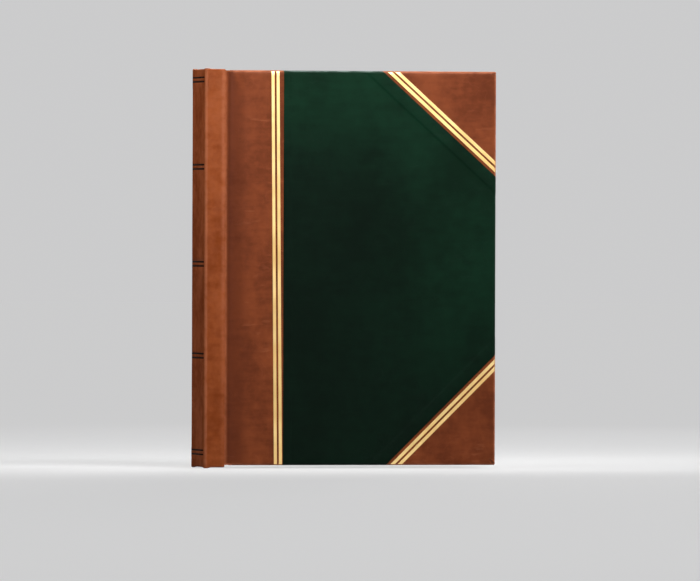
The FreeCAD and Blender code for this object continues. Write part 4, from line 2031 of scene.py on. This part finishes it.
@dataclass
class Studio:
    """A pale floor, soft light and the camera of the photograph."""

    azimuth: float = math.radians(-13.47)
    distance: float = 9.0
    camera_height: float = 0.1783
    roll: float = math.radians(0.2)
    aim: Triple = (0.0047, 0.0, 0.1357)
    lens: float = 603.8
    sensor: float = 36.0
    sight: Pair = (0.1, 50.0)
    floor_radius: float = 22.0
    floor_colour: Colour = (0.34, 0.34, 0.338)
    floor_glow: Colour = (0.51, 0.51, 0.513)
    sky: Colour = (0.18, 0.18, 0.184)
    backdrop: Colour = (0.6, 0.6, 0.605)
    sun_from: Triple = (0.62, -0.62, 0.5)
    sun_angle: float = math.radians(24)
    sun_power: float = 0.55
    lights: tuple[Softbox, ...] = (
        Softbox("front", (0.9, -3.0, 1.1), 1.3, 1.1, 5.0),
        Softbox("glint", (0.19, -1.0, 0.52), 0.5, 0.12, 0.16, (0.0, 0.0, 0.3), math.radians(50)),
        Softbox("top_front", (0.25, -0.45, 0.8), 0.9, 0.3, 1.4, (0.05, 0.0, 0.34), math.radians(60)),
        Softbox("overhead", (0.05, 0.05, 0.7), 0.5, 0.2, 0.1, (0.0, 0.0, 0.3), math.radians(50)),
        Softbox("back", (0.9, 2.4, 0.5), 0.9, 0.6, 2.6, (0.0, 0.0, 0.2), math.radians(34)),
        Softbox("right_edge", (1.6, 0.22, 0.45), 0.2, 0.8, 5.0),
        Softbox("left_fill", (-0.55, -0.14, 0.74), 0.3, 0.3, 0.3, (-0.11, 0.0, 0.33), math.radians(50)),
    )

    def build(self) -> None:
        """Set the floor, the sky, the lights and the camera."""
        self.lay_floor()
        self.light_sky()
        self.hang_sun()
        for light in self.lights:
            light.build()
        self.set_camera()
        bpy.context.scene.view_settings.view_transform = "Standard"

    def lay_floor(self) -> None:
        """Lay a plain pale floor, as pale as the backdrop to rays that see it."""
        bm = bmesh.new()
        bmesh.ops.create_circle(bm, cap_ends=True, segments=96, radius=self.floor_radius)
        mesh = bpy.data.meshes.new("floor")
        bm.to_mesh(mesh)
        bm.free()
        material = bpy.data.materials.new("pale_floor")
        material.use_nodes = True
        graph = Graph(material.node_tree)
        graph.surface(
            Base_Color=rgba(self.floor_colour),
            Roughness=1.0,
            Specular_IOR_Level=0.0,
            Emission_Color=rgba(self.floor_glow),
            Emission_Strength=self.seen_rays(graph),
        )
        mesh.materials.append(material)
        link("floor", mesh)

    def hang_sun(self) -> None:
        """Hang the broad soft light that reaches album and floor evenly."""
        lamp = bpy.data.lights.new("key", "SUN")
        lamp.energy = self.sun_power
        lamp.angle = self.sun_angle
        link("key", lamp).rotation_euler = look_along(-Vector(self.sun_from)).to_euler()

    def light_sky(self) -> None:
        """Give an even pale light from all round."""
        world = bpy.data.worlds.new("pale_studio")
        world.use_nodes = True
        graph = Graph(world.node_tree)
        colour = graph.mix(self.seen_rays(graph), self.sky, self.backdrop)
        light = graph.add("ShaderNodeBackground", Color=colour, Strength=1.0)
        graph.add("ShaderNodeOutputWorld", Surface=light.outputs["Background"])
        bpy.context.scene.world = world

    def seen_rays(self, graph: Graph) -> Socket:
        """Tell rays that show the backdrop itself from rays that light the album.

        Args:
            graph: Builder of the material's or the world's nodes.

        Returns:
            1 for the former and 0 for the latter.
        """
        rays = graph.add("ShaderNodeLightPath").outputs
        reflected = graph.work("MAXIMUM", rays["Is Glossy Ray"], rays["Is Transmission Ray"])
        return graph.work("MAXIMUM", rays["Is Camera Ray"], reflected)

    def set_camera(self) -> None:
        """Stand the camera where the photograph was taken from."""
        lens = bpy.data.cameras.new("photograph")
        lens.lens = self.lens
        lens.sensor_width = self.sensor
        lens.clip_start, lens.clip_end = self.sight
        camera = link("photograph", lens)
        ground = Vector((math.sin(self.azimuth), -math.cos(self.azimuth), 0.0)) * self.distance
        aim = Vector(self.aim)
        camera.location = Vector((aim.x + ground.x, aim.y + ground.y, self.camera_height))
        rolled = Euler((0.0, 0.0, self.roll)).to_quaternion()
        camera.rotation_euler = (look_along(aim - camera.location) @ rolled).to_euler()
        bpy.context.scene.camera = camera


def main() -> None:
    """Build the album and its studio."""
    logging.basicConfig(level=logging.INFO, format="%(name)s %(message)s")
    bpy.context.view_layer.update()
    Spine().build()
    for side in Side:
        cover = Cover(side)
        cover.build()
        Joint(cover).build()
    Leaves().build()
    Binding().build()
    Studio().build()


if __name__ == "__main__":
    main()
